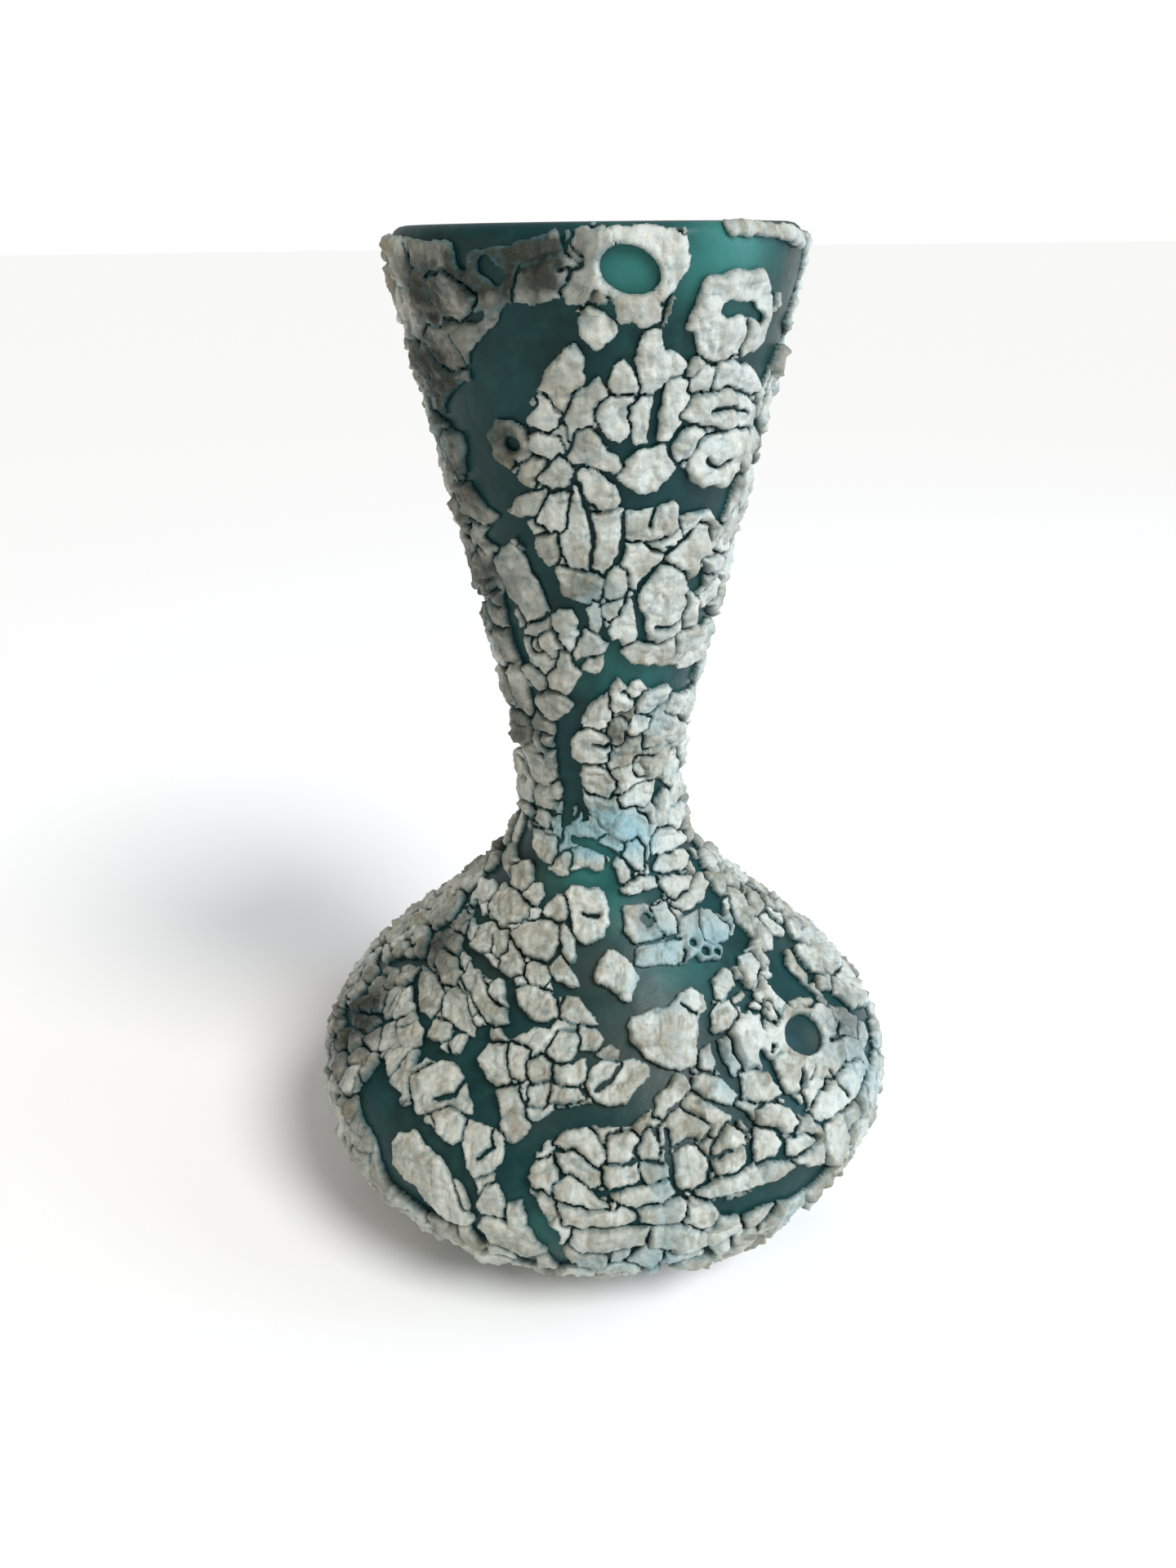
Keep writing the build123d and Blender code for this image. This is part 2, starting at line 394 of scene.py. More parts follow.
PLATES = (
    # mouth
    Patch(-0.3, ((-6, 197), (-3, 194.2), (-7, 192.6), (-9, 190.6), (-8, 189), (-3, 188.5),
        (-2, 190.4), (0, 192), (0, 196), (3, 198.6), (1, 200), (-5, 200))),
    Patch(-0.3, ((3, 190.4), (4.5, 187.5), (5.2, 185.4), (8, 186.6), (12, 185.2), (15, 186),
        (16, 188.6), (14, 191), (9, 190))),
    Patch(-0.6, ((14, 190.8), (16.5, 189), (19, 190.4), (22, 194.5), (21, 198), (17, 200),
        (3, 200), (3, 197.5), (10, 196.5), (15, 193.8))),
    Patch(-0.2, ((-5, 186.5), (-3, 188.2), (-1, 188), (2, 186.8), (5, 185), (3, 183.5), (-1, 182),
        (-5, 184.5))),
    Patch(-0.7, ((24, 186), (26.5, 189.5), (28, 191.5), (33, 192.5), (40, 192.8), (46, 192.8),
        (50, 191), (54, 188.5), (55.5, 185.5), (54, 181.5), (50, 180.5), (45, 180), (44.5, 181),
        (38, 179.8), (33, 179.5), (28, 181), (26.5, 184), (24, 184.8))),
    Patch(-0.4, ((10, 180.5), (12, 184.5), (16, 184.7), (18, 181.5), (24, 179.8), (23, 177.5),
        (20, 176.5), (17, 176), (15.5, 175), (13, 175), (11, 178.5))),
    Patch(0, ((3, 176.5), (4, 179.3), (6.5, 180), (9, 178.5), (11, 176), (10.5, 174.8),
        (6, 175.8), (4, 175.5))),
    Patch(0.3, ((-20, 174), (-16, 177), (-12, 180), (-9, 182), (-6.5, 182.8), (-4.5, 180.5),
        (-4.5, 178), (-7, 175.5), (-9, 172.5), (-13, 172.8), (-16, 174.5))),
    Patch(-1, ((-22, 171), (-19, 173), (-17.5, 175), (-14, 173), (-11.5, 172), (-14, 170),
        (-18, 169.5), (-21, 170))),
    Patch(0.1, ((-9, 168), (-10, 171), (-6, 175.5), (-3, 176.5), (0, 177.5), (1.5, 176),
        (1, 174.5), (-2, 173), (-1.5, 169), (-4, 168), (-7, 167.5))),
    Patch(-0.2, ((0, 173), (3, 175), (9, 174.8), (10.5, 173.5), (8.5, 170.5), (9, 168),
        (5, 167.5), (1.5, 168.5), (-0.5, 171))),
    Patch(-0.4, ((9, 172.5), (12, 174.3), (15.5, 174.5), (16, 171), (14.5, 167.5), (11, 167),
        (9.5, 169))),
    Patch(-0.5, ((16.3, 169.5), (18, 173), (19.5, 176), (21, 176.8), (25, 176.8), (27.5, 175.5),
        (27, 172.5), (23, 169.5), (21, 167.8), (17, 168.2))),
    Patch(-0.6, ((27, 175.5), (26.5, 177), (31, 178.7), (34.5, 178), (34, 175.5), (31, 174.8),
        (28, 174.8))),
    Patch(-0.8, ((35, 176), (36, 179), (42, 179), (50, 177.5), (55, 176), (59, 174.3),
        (52, 173.8), (44, 175), (38, 175))),
    Patch(-0.6, ((28, 173.8), (30, 174.5), (40, 174.6), (50, 173.5), (58, 171.5), (59.5, 168),
        (55, 167.5), (50, 168.5), (44, 167.6), (40, 168.8), (34, 169.5), (28, 170.5),
        (25, 171.5))),
    Patch(-0.3, ((23, 166.5), (26, 168.6), (31, 169.2), (34, 168), (33.5, 165.6), (30, 164.5),
        (26, 163.5), (24, 165))),
    Patch(-0.5, ((34.5, 167), (40, 167.4), (48, 167.3), (57, 167.2), (60, 165.5), (56, 162.3),
        (52, 160), (50, 157.8), (45, 158.5), (38, 159.3), (33, 160), (30.3, 162), (31, 164),
        (34, 165.5))),
    Patch(-0.6, ((6, 162.3), (9, 164.5), (14, 166.3), (19.5, 166.8), (21.5, 165), (24.5, 162.7),
        (23, 161), (19, 159.6), (13, 158.8), (9.5, 160.5))),
    Patch(0.2, ((-24, 168), (-19, 168.8), (-14, 168), (-12, 165.8), (-16, 165), (-20, 166))),
    Patch(0.4, ((-28, 161.5), (-26, 163.5), (-21, 164.8), (-18, 164.5), (-20, 161.5),
        (-23, 160))),
    Patch(0.2, ((-20, 161.5), (-17, 163.3), (-13, 165), (-10, 164), (-9, 162), (-12, 160.2),
        (-17, 160))),
    Patch(0.3, ((-10, 165), (-7, 168.8), (-3, 169.5), (-1, 168.5), (1, 166), (5, 164.8),
        (7, 163.5), (5, 162.5), (1, 163), (-3, 163.8), (-7, 164))),
    Patch(0, ((-9, 161.5), (-7, 162.7), (-3, 163), (2, 161.3), (5.5, 160.5), (6.3, 157.5),
        (4, 155.8), (-1, 156.2), (-5, 158.5))),
    Patch(0.5, ((-34, 155), (-28, 157.5), (-24, 158.8), (-19, 159.5), (-20, 157), (-24, 154.8),
        (-29, 154.3))),
    Patch(-0.5, ((-22, 154), (-19.5, 157), (-17, 158.7), (-11, 158.8), (-9.5, 157), (-11, 154.5),
        (-15, 152), (-18, 152.8))),
    Patch(-0.2, ((-10, 158), (-9, 160.5), (-6, 157), (-4, 154), (-3.5, 150), (-3.5, 146),
        (-5, 145.6), (-11, 146.2), (-14, 149), (-14.5, 151.5), (-11, 153))),
    Patch(-0.5, ((-3, 155.5), (0, 155.3), (4, 155.5), (7.5, 156), (9, 155), (8, 151), (6, 149.5),
        (4, 147), (1, 145.2), (-2.5, 146), (-2.6, 150))),
    Patch(-0.4, ((9, 155), (13, 155.7), (20, 155.5), (27, 157), (29.5, 154), (28, 152.8),
        (22, 150.5), (15, 150), (9.5, 151))),
    Patch(-0.9, ((-58, 183), (-55, 184.5), (-47, 184.2), (-43, 182), (-42, 179.5), (-46, 178),
        (-52, 178.6), (-57, 181))),
    Patch(-0.2, ((-50, 192), (-42, 193), (-38, 191.5), (-32.5, 190), (-36, 187.5), (-40, 186.5),
        (-46, 187), (-50, 189))),
    Patch(0.5, ((-66, 158), (-58, 159), (-53, 159), (-50, 156.5), (-45, 155), (-41, 153.8),
        (-46, 152.5), (-56, 152), (-66, 153))),
    Patch(0.5, ((-66, 166), (-60, 168), (-51, 167.3), (-52, 164), (-55, 161), (-66, 160.5))),
    Patch(0.9, ((-37, 168.5), (-34, 170.6), (-28, 171), (-23.5, 169.6), (-24.5, 167),
        (-27, 165.2), (-31, 163.2), (-36, 164.6))),
    # trumpet
    Patch(-0.1, ((-47, 145.5), (-43, 147), (-39, 148.5), (-36, 149), (-32, 148), (-30, 146),
        (-29, 143.5), (-25, 140.5), (-23.5, 138), (-21.5, 136.5), (-22, 134.5), (-26, 133),
        (-30, 132), (-37, 131.5), (-34, 134), (-38, 137), (-42, 138.5), (-43, 141), (-46, 143))),
    Patch(0.8, ((-24, 149.5), (-23, 151), (-16, 152), (-15.5, 149), (-17, 146.5), (-20, 146),
        (-23, 148))),
    Patch(1, ((-17, 145.5), (-15, 146.2), (-10, 145.6), (-4, 144.8), (1, 143.8), (1.5, 141.5),
        (-1, 140), (-6, 139.3), (-11, 139.5), (-15, 141), (-16, 143.5))),
    Patch(-0.2, ((9, 150.6), (12, 149.8), (15, 149.5), (20, 148), (25, 147.5), (20, 145.5),
        (16, 143.5), (14, 141.5), (11, 142), (10, 144), (6, 147))),
    Patch(0.1, ((1.5, 140.3), (3, 144), (6, 146.5), (9, 144.6), (10, 142), (8, 139.5),
        (3, 139.3))),
    Patch(0.2, ((-6, 136), (-5, 138), (-3, 139.3), (-1, 138.5), (0, 136.5), (0, 134.5), (-2, 133),
        (-5, 134))),
    Patch(-0.3, ((0, 138), (2, 138.5), (6, 138.7), (10, 139.5), (11.5, 138), (9, 136.3),
        (4, 135.8), (1, 136.5))),
    Patch(-0.2, ((11, 139.7), (13, 138.5), (15, 136), (16, 132.5), (15, 130), (13, 128.8),
        (11, 130), (9, 131.8), (5, 132), (3.8, 133.5), (6, 135.3), (9, 136))),
    Patch(0.1, ((-13, 130), (-11, 132), (-7, 133.2), (-4, 133), (0, 131.5), (3.5, 131), (2, 129),
        (-4, 128.7), (-8, 129), (-11, 128))),
    Patch(0, ((-9, 126), (-5, 128), (0, 128.4), (2, 128.6), (0, 126.6), (-1, 125.5),
        (-6, 125.3))),
    Patch(-0.5, ((16.5, 139.5), (19, 142), (22, 143.5), (26, 145), (31, 145.5), (36, 144),
        (39, 142), (40, 140), (42, 137.5), (40, 134), (38, 131.5), (33, 130.5), (27, 130.5),
        (22, 131.5), (21, 134), (20, 136.5), (17, 138))),
    Patch(-0.5, ((27.5, 147), (31, 148), (36, 149.5), (38, 151.5), (41, 152.5), (45, 151.5),
        (47.5, 149.5), (46, 146.5), (43, 144.5), (40, 142), (38, 144), (32, 145.8), (29, 146))),
    Patch(-0.4, ((30, 154), (33, 151), (36, 151.8), (40, 153.2), (46, 151.9), (49, 149),
        (50, 151), (44, 153.8), (36, 153.9))),
    Patch(0.2, ((9.5, 129.2), (12, 130), (18, 130.3), (24, 130), (30, 129.5), (38, 131),
        (38, 128), (36, 125), (30, 125.5), (22, 126.3), (15, 126.8))),
    Patch(-0.1, ((39, 131), (45, 132), (50, 131.5), (56, 131), (60, 128), (60, 124), (52, 123.3),
        (45, 123.5), (42, 125), (38, 125), (39, 128))),
    Patch(-0.5, ((41, 139), (43, 139), (48, 136.5), (48, 133.5), (47, 132.4), (42, 132.2),
        (41, 134), (42.5, 137))),
    Patch(-0.7, ((46, 145.3), (50, 144.5), (54, 145), (62, 144), (66, 142), (58, 141.5),
        (52, 142.3))),
    Patch(-0.8, ((52, 147), (56, 149), (60, 152), (66, 153), (66, 145), (58, 145.4))),
    Patch(-0.7, ((49, 137.5), (55, 139), (62, 140), (66, 139), (66, 136), (58, 135), (52, 136))),
    Patch(-0.2, ((-29, 131.5), (-26, 132.5), (-22, 133), (-19, 132), (-20, 129.5), (-24, 128),
        (-28, 130))),
    Patch(-0.1, ((-21, 136), (-17, 137), (-13, 137), (-11, 135), (-10, 133), (-12, 131),
        (-15, 129.5), (-18, 131), (-18, 133), (-21, 134.5))),
    Patch(0.1, ((-30, 123), (-27, 124.5), (-22, 125.5), (-20, 129), (-16, 129), (-13, 126.5),
        (-11, 125), (-14, 122.5), (-18, 120.5), (-24, 120), (-29, 121))),
    Patch(0.7, ((-37, 118.5), (-34, 119.5), (-29, 120.5), (-20, 120), (-18, 119), (-16, 118),
        (-18, 116.8), (-24, 115), (-30, 114), (-33, 114.5), (-36, 116.5))),
    Patch(0.5, ((-44, 124), (-38, 125), (-33, 124.5), (-30, 122.5), (-31, 121), (-35, 120),
        (-38, 121.5), (-42, 122.5))),
    Patch(0.6, ((-45, 112), (-40, 115), (-36, 113.8), (-31, 113.7), (-29, 112.5), (-31, 111),
        (-38, 111))),
    Patch(-0.4, ((-10, 114.5), (-8, 117), (-4, 119), (0, 120), (4, 120.5), (5, 119), (5, 117),
        (4, 115), (2, 113.5), (-4, 113), (-8, 113))),
    Patch(-0.6, ((5, 119.5), (6, 122), (9, 123.3), (12, 122.3), (16, 120), (17, 118.5),
        (14, 117.3), (9, 117), (5.5, 118))),
    Patch(-0.3, ((13, 121), (17, 122.3), (21, 122.3), (25, 121), (23, 120), (18, 119.5),
        (15, 120.5))),
    Patch(-0.4, ((20, 117.5), (24, 120), (30, 120), (38, 120.5), (40, 119.5), (36, 117.5),
        (30, 115.5), (26, 115), (22, 115.5))),
    Patch(0.4, ((5, 114), (8, 115), (12, 115.3), (14, 113), (13, 110), (10, 109.3), (6, 110),
        (4.5, 112))),
    Patch(-0.2, ((16, 112), (19, 115), (24, 114.5), (29, 113.5), (27, 111.5), (22, 110.8),
        (17, 111))),
    Patch(-0.2, ((-18, 109.5), (-13, 112), (-6, 112.8), (-2, 112.3), (3, 111), (5, 108.5),
        (3, 106), (-4, 105), (-12, 105.2), (-18, 106.5))),
    Patch(-0.5, ((41, 115.5), (43, 118), (50, 117.3), (57, 117), (59, 115), (52, 114),
        (44, 114))),
    Patch(0.5, ((-14, 102.5), (-11, 104.8), (-4, 104.6), (3, 103), (8, 100.5), (6, 97.5), (0, 98),
        (-6, 98.5), (-11, 100))),
    Patch(-0.7, ((12, 97), (18, 98.5), (28, 99.7), (38, 99.3), (36, 96), (30, 95), (22, 95.2),
        (15, 95.5))),
    # neck
    Patch(-1, ((-19, 78.5), (-18, 79.7), (-10, 79.9), (-3, 79.9), (0, 79.3), (2.5, 77.5), (3, 76),
        (2, 73.5), (0, 72), (-4, 71.3), (-8, 70.8), (-11, 71.5), (-13, 73.5), (-17, 76),
        (-19.5, 77.3))),
    Patch(-0.3, ((-3, 66.5), (-1, 68.5), (3, 69.9), (6, 69.7), (10, 68), (12, 66), (11, 65),
        (8.5, 63.3), (6, 63.3), (2, 65.3), (-1, 65.5))),
    Patch(-0.3, ((-20, 83.3), (-19, 86), (-14, 86.8), (-7, 86.5), (0, 85.5), (2, 84.3), (1, 83.3),
        (-6, 83.3), (-12, 83.5), (-16, 82.8))),
    Patch(0.2, ((-33, 82), (-28, 84), (-24, 85.5), (-20.6, 85.5), (-20.6, 83.5), (-21, 81.5),
        (-27, 81.3))),
    Patch(0.3, ((-53, 88), (-46, 88), (-39, 87.8), (-32, 87.7), (-30, 85.5), (-33, 83),
        (-37, 82.8), (-43, 83.5), (-49, 85.5))),
    Patch(-0.6, ((8, 84), (10, 84.8), (14, 84), (16.5, 82), (14, 80.8), (11, 80.8), (9, 82.3))),
    Patch(-0.5, ((14, 85.5), (18, 87.5), (24, 88), (29, 86), (28, 84), (26, 82.2), (20, 82.5),
        (17.5, 84))),
    Patch(-0.5, ((11, 79.5), (15, 80.5), (22, 81), (28, 80.3), (32, 80), (32, 78.7), (24, 78.5),
        (16, 78.4), (12, 78.6))),
    Patch(-0.5, ((36, 84.5), (36, 86.5), (42, 88.5), (50, 88.3), (60, 86.3), (66, 85.5),
        (66, 83.5), (54, 83.6), (44, 83.8))),
    Patch(-0.4, ((34, 81.5), (40, 83.2), (50, 83), (60, 82.5), (64, 80.5), (58, 79.2), (50, 79.8),
        (40, 80))),
    Patch(-0.3, ((35, 79.2), (42, 79.3), (50, 78.5), (56, 77.5), (52, 75.8), (46, 75.6), (37, 76),
        (35, 78))),
    Patch(0.3, ((11, 76.3), (16, 76.7), (22, 76.2), (25, 75), (24, 73), (26, 71.5), (22, 70.7),
        (14, 70.8), (11, 72.5), (11.5, 74.5))),
    Patch(0.2, ((12.5, 67.7), (14, 70), (20, 70), (28, 70.2), (34, 69.5), (32, 68), (27, 66.8),
        (22, 67.3), (17, 67.5))),
    Patch(0.2, ((26, 75.3), (33, 75.5), (34, 72.5), (32, 70.9), (28, 71), (26.6, 72.5))),
    Patch(-0.1, ((45, 68), (46, 70), (51, 72), (55, 71.3), (57, 69.5), (59, 67.8), (55, 66.8),
        (48, 67.2))),
    Patch(-0.1, ((37, 74.8), (42, 75.2), (50, 75.3), (58, 76.6), (66, 76.5), (66, 74), (56, 73.2),
        (48, 73), (40, 73.3))),
    Patch(0.3, ((-30, 74.2), (-28, 76), (-24, 77.7), (-20, 77.5), (-18, 75.5), (-19, 73.8),
        (-25, 73.5))),
    Patch(0.2, ((-40, 70.5), (-36, 72), (-30, 73), (-25, 73.3), (-20.4, 72.5), (-19.4, 70.5),
        (-22, 68), (-27, 67.9), (-33, 68.5), (-40, 70))),
    Patch(0.3, ((-19, 73.3), (-16, 73), (-13, 71.5), (-11, 68.5), (-13, 67.7), (-16, 69.4),
        (-18, 71))),
    Patch(0.2, ((-41, 67.5), (-39, 69), (-34, 68.2), (-31, 67), (-30, 65.3), (-34, 64.3),
        (-38, 65))),
    Patch(0.2, ((-29, 66.8), (-27, 67.3), (-21, 67.3), (-19, 66), (-21, 64.7), (-25, 64.5),
        (-28, 65.3))),
    Patch(0, ((-20, 67.5), (-17, 69), (-13, 67.6), (-10, 66.3), (-9, 65), (-12, 65),
        (-16, 65.5))),
    Patch(0.3, ((-46, 76), (-42, 78.5), (-37, 79), (-33, 77.2), (-35, 75.7), (-41, 75))),
    Patch(0.5, ((-62, 79), (-56, 80), (-50, 81.8), (-47, 81), (-44, 79), (-47, 76.5),
        (-56, 76.2))),
    Patch(0.5, ((-62, 75.3), (-54, 75.6), (-45, 75.5), (-38, 74.8), (-37, 73.3), (-43, 71.5),
        (-49, 70.2), (-56, 70.7), (-62, 71.5))),
    Patch(0.6, ((-57, 68.5), (-54, 70), (-49, 69.5), (-48.5, 68), (-46, 66.5), (-50, 65.3),
        (-55, 65.5))),
    Patch(0.5, ((-47.6, 69.3), (-43, 70), (-40, 68), (-42, 66.5), (-45.4, 66.6))),
    # shoulder and belly
    Patch(0.1, ((7, 59.5), (8, 60.8), (13, 61.3), (20, 61.5), (24, 62.7), (29, 63.2), (32, 61.5),
        (31, 59.8), (28, 59.3), (26, 57.5), (24, 55.5), (22, 53.5), (18, 53.3), (14, 54),
        (10, 55.8), (8, 57.5))),
    Patch(0, ((-4, 52), (-3, 54.5), (0, 55.5), (3, 55), (8, 55.3), (10, 54.5), (10, 53),
        (7, 51.5), (4, 49.8), (-1, 49.7), (-3, 50.8))),
    Patch(0.3, ((-31, 52.5), (-30.5, 55), (-26, 55.5), (-24.5, 53.5), (-22.5, 51.5), (-24, 50),
        (-27, 50.8))),
    Patch(0.5, ((-25, 56), (-20, 55.8), (-19, 53.5), (-19.5, 51.7), (-22, 51.9), (-24, 53.8))),
    Patch(0.3, ((-25, 49.8), (-20, 50.8), (-17.8, 48), (-15.5, 46), (-18, 43.8), (-21, 44.8),
        (-22, 47))),
    Patch(0.1, ((-28, 45), (-23, 45.2), (-20, 43.8), (-19.5, 41.5), (-21, 39.5), (-24, 37.8),
        (-26, 39), (-28, 42))),
    Patch(0.2, ((-46, 46.5), (-44, 48.5), (-41, 50.5), (-38, 51), (-34, 50), (-31, 48),
        (-28.5, 46), (-31, 45.8), (-35, 46), (-38, 43.8), (-40, 43), (-44, 44.5))),
    Patch(0.2, ((-36.6, 44), (-34, 45.4), (-29, 45), (-28.5, 42.5), (-30, 41.3), (-34, 41.8))),
    Patch(-0.2, ((-43, 36.5), (-42, 39), (-39, 40.3), (-35, 39.2), (-32, 38.3), (-29, 36.5),
        (-27, 33), (-26, 30), (-24, 29), (-25, 26.5), (-29, 25.5), (-32, 28), (-35, 30.5),
        (-39, 31.5), (-42, 33))),
    Patch(0.1, ((-23, 33), (-21.5, 36), (-19.5, 37.3), (-18, 35.5), (-17.5, 33), (-18, 30.5),
        (-20, 30.2), (-22, 31))),
    Patch(0.2, ((-17, 34.5), (-15, 35), (-14, 31), (-13, 27), (-11, 24), (-15, 21), (-21, 24),
        (-23, 28), (-22, 29.6), (-17.6, 29.8))),
    Patch(0.1, ((-30, 63), (-26, 64), (-18, 64), (-15, 62.5), (-14, 61), (-17, 60), (-20, 59.5),
        (-23, 60.3), (-27, 61.5))),
    Patch(0.2, ((-13, 61), (-12.4, 63.5), (-8, 63.5), (-4, 61.5), (-2.5, 60), (-6, 60),
        (-10, 60.5))),
    Patch(0.4, ((-51, 63.5), (-46, 63.2), (-40, 62), (-36, 60.3), (-30, 59.7), (-28, 58.5),
        (-31, 57.5), (-36, 58.5), (-42, 60), (-50, 61.5))),
    Patch(0.4, ((-50, 60), (-46, 59.5), (-41, 57.8), (-37, 56.5), (-36, 55.5), (-41, 55.2),
        (-48, 55.5), (-51, 57.5))),
    Patch(0.4, ((-65, 62), (-57, 62.5), (-52, 61.5), (-51, 59.8), (-56, 59.3), (-64, 60))),
    Patch(0.6, ((-68, 58.3), (-60, 58.6), (-53, 58.3), (-51.5, 56.5), (-52, 54.5), (-57, 54.5),
        (-63, 56))),
    Patch(0.5, ((-50, 54.6), (-44, 54.8), (-42, 53.5), (-44, 52.3), (-49, 52))),
    Patch(0.4, ((-40, 54.6), (-38, 54.8), (-37.5, 52.5), (-39, 52), (-41, 53))),
    Patch(0.1, ((12, 41), (13, 43), (15.5, 43.8), (17.5, 42.8), (18.5, 40.5), (17.5, 38),
        (15, 37), (12.8, 38.2))),
    Patch(0.1, ((20, 41.8), (22, 43.5), (25, 44.5), (27, 43), (26.5, 41.7), (23, 41.4))),
    Patch(0.1, ((19.5, 40.5), (23, 40.6), (26, 41), (25.5, 39.3), (22, 38), (20, 38.5))),
    Patch(0.2, ((10, 44.3), (11, 46.3), (13.5, 47.8), (16, 48), (18.5, 46.8), (20.5, 45.3),
        (18.5, 43.8), (17.5, 44.5), (15.5, 44.7), (13, 44.2))),
    Patch(0.2, ((16, 36.3), (19, 37.7), (23, 37.4), (27, 38.3), (30, 37.5), (34, 36), (36, 34.5),
        (32, 33.7), (26, 34.5), (20, 34.8))),
    Patch(0.2, ((10.5, 48), (11, 50), (14, 51), (17, 52.8), (19, 52.5), (19, 50.5), (16, 49),
        (13, 48.5), (12, 47.4))),
    Patch(0.2, ((20, 50.5), (21, 52), (24, 51.8), (27, 50.5), (29, 48), (27, 47), (24, 47.8),
        (22, 49))),
    Patch(0.3, ((23, 53), (25, 55), (28, 55.3), (27.5, 53), (26, 52.1), (24, 52.5))),
    Patch(0, ((30, 57), (32, 58.8), (37, 60), (40, 59.5), (39, 57), (34, 56.3), (31, 56.2))),
    Patch(0, ((36, 60.5), (38, 63), (43, 63.5), (46, 62.5), (44, 61), (40, 60.1), (37, 60))),
    Patch(-0.2, ((48, 59.5), (50, 62.5), (54, 63.5), (59, 62.5), (58, 60.5), (54, 60),
        (50, 58.8))),
    Patch(0, ((30.5, 47.5), (32, 50), (36, 49.8), (39, 48.5), (39, 45.5), (36, 45.5),
        (33, 46.3))),
    Patch(-0.1, ((41, 47), (42, 49.5), (46, 49.5), (47.5, 48), (50, 46.8), (52, 46), (49, 44.8),
        (44, 44.3), (41, 45))),
    Patch(0, ((28, 38.5), (28.5, 41), (30.5, 43), (33, 41.5), (34, 39.5), (32, 38))),
    Patch(0, ((31, 43.5), (32, 45), (36, 45), (39.5, 43), (40, 41), (37, 40.3), (34.5, 42))),
    Patch(-0.2, ((35, 37), (36, 39), (39, 39), (42, 37), (40, 36), (37, 36))),
    Patch(-0.3, ((61, 47), (60.5, 49.5), (63, 50.8), (67, 50), (69, 48), (67, 46), (62, 45.8))),
    Patch(-0.8, ((44, 41), (52, 42.5), (60, 41.5), (66, 39.5), (66, 37), (58, 36.5), (50, 38),
        (44, 39.5))),
    Patch(0.1, ((-14, 39.5), (-13, 42), (-10.5, 43), (-9, 41.5), (-8.5, 39), (-10, 37.5),
        (-12.5, 38))),
    Patch(0.1, ((-10, 44.8), (-8, 46.3), (-4, 46.8), (-2, 45.8), (0, 43.5), (-1.5, 41.8),
        (-4, 43), (-7, 44))),
    Patch(0.3, ((-9.5, 43.5), (-6, 43.8), (-3, 41.8), (-1, 40.3), (-2.5, 39), (-5, 39.5),
        (-8, 41.5))),
    Patch(0.2, ((-9, 38.8), (-7, 40.5), (-4, 38.8), (-2, 37.3), (0, 35.8), (-2, 34.8), (-6, 35.5),
        (-9, 36.8))),
    Patch(0.2, ((0, 43.8), (1, 45.6), (5, 46), (7, 45), (5.5, 43.3), (3, 42), (0.5, 42.2))),
    Patch(0.3, ((7.4, 45.6), (9, 46.2), (9.8, 44.6), (9.4, 42.4), (6.6, 42.6), (6, 43.5))),
    Patch(0.2, ((-1, 41.6), (3, 41.6), (6, 42), (6, 40), (3, 39), (1, 38.6), (-0.6, 40))),
    Patch(0.3, ((6.6, 42), (9.6, 41.8), (11.4, 41.4), (11.2, 39.6), (8, 39), (6.4, 40))),
    Patch(0.2, ((1, 38), (4, 38.6), (8, 38.4), (11, 38.8), (12.4, 37.4), (10.5, 35.4), (6, 34.9),
        (3, 36))),
    Patch(0.2, ((-8.6, 35.6), (-4, 34.4), (1, 34.4), (3, 35), (5, 33.4), (2, 31.4), (-3, 31),
        (-7, 32.4))),
    Patch(0.3, ((5.4, 34.4), (10, 34.8), (13, 36), (14.4, 34.4), (13, 31.6), (8, 31.2),
        (5.8, 32.6))),
    Patch(0.2, ((14.8, 35.4), (18, 34), (19.4, 31.6), (18, 28.6), (14, 29.4), (13.6, 31.4))),
    Patch(-0.2, ((-5.6, 30.4), (0, 30.6), (4, 31), (7, 30.4), (6, 27), (1, 25), (-4, 25.4),
        (-6.4, 27.6))),
    Patch(0.1, ((7.8, 30.4), (12.8, 30.6), (16, 28), (15, 25), (10, 24.4), (7.2, 26.6))),
    Patch(0.4, ((-14.5, 56), (-12, 58.5), (-8, 58.8), (-7, 57), (-9, 55.4), (-12, 55))),
    Patch(0.3, ((-7, 59.6), (-3, 59.6), (-1, 58.2), (-3, 56.6), (-6, 56.8))),
    Patch(0.4, ((-2.4, 56.2), (1, 57.6), (3.4, 56.6), (3, 55.5), (0, 55.9))),
    Patch(0.5, ((-18.6, 54), (-16, 55.4), (-13, 54.4), (-13, 52.4), (-16, 51.8), (-18.6, 52.6))),
    Patch(0.2, ((-12.4, 54.4), (-8, 54.8), (-5, 55.6), (-4.4, 53), (-7, 51.8), (-11, 52))),
    Patch(0.4, ((-17, 51.2), (-13, 51.8), (-12, 50.2), (-14, 48.6), (-17, 49))),
    Patch(0.2, ((-11.6, 51.6), (-6, 51.4), (-4.6, 50.4), (-8, 49.7), (-12, 49.6))),
)

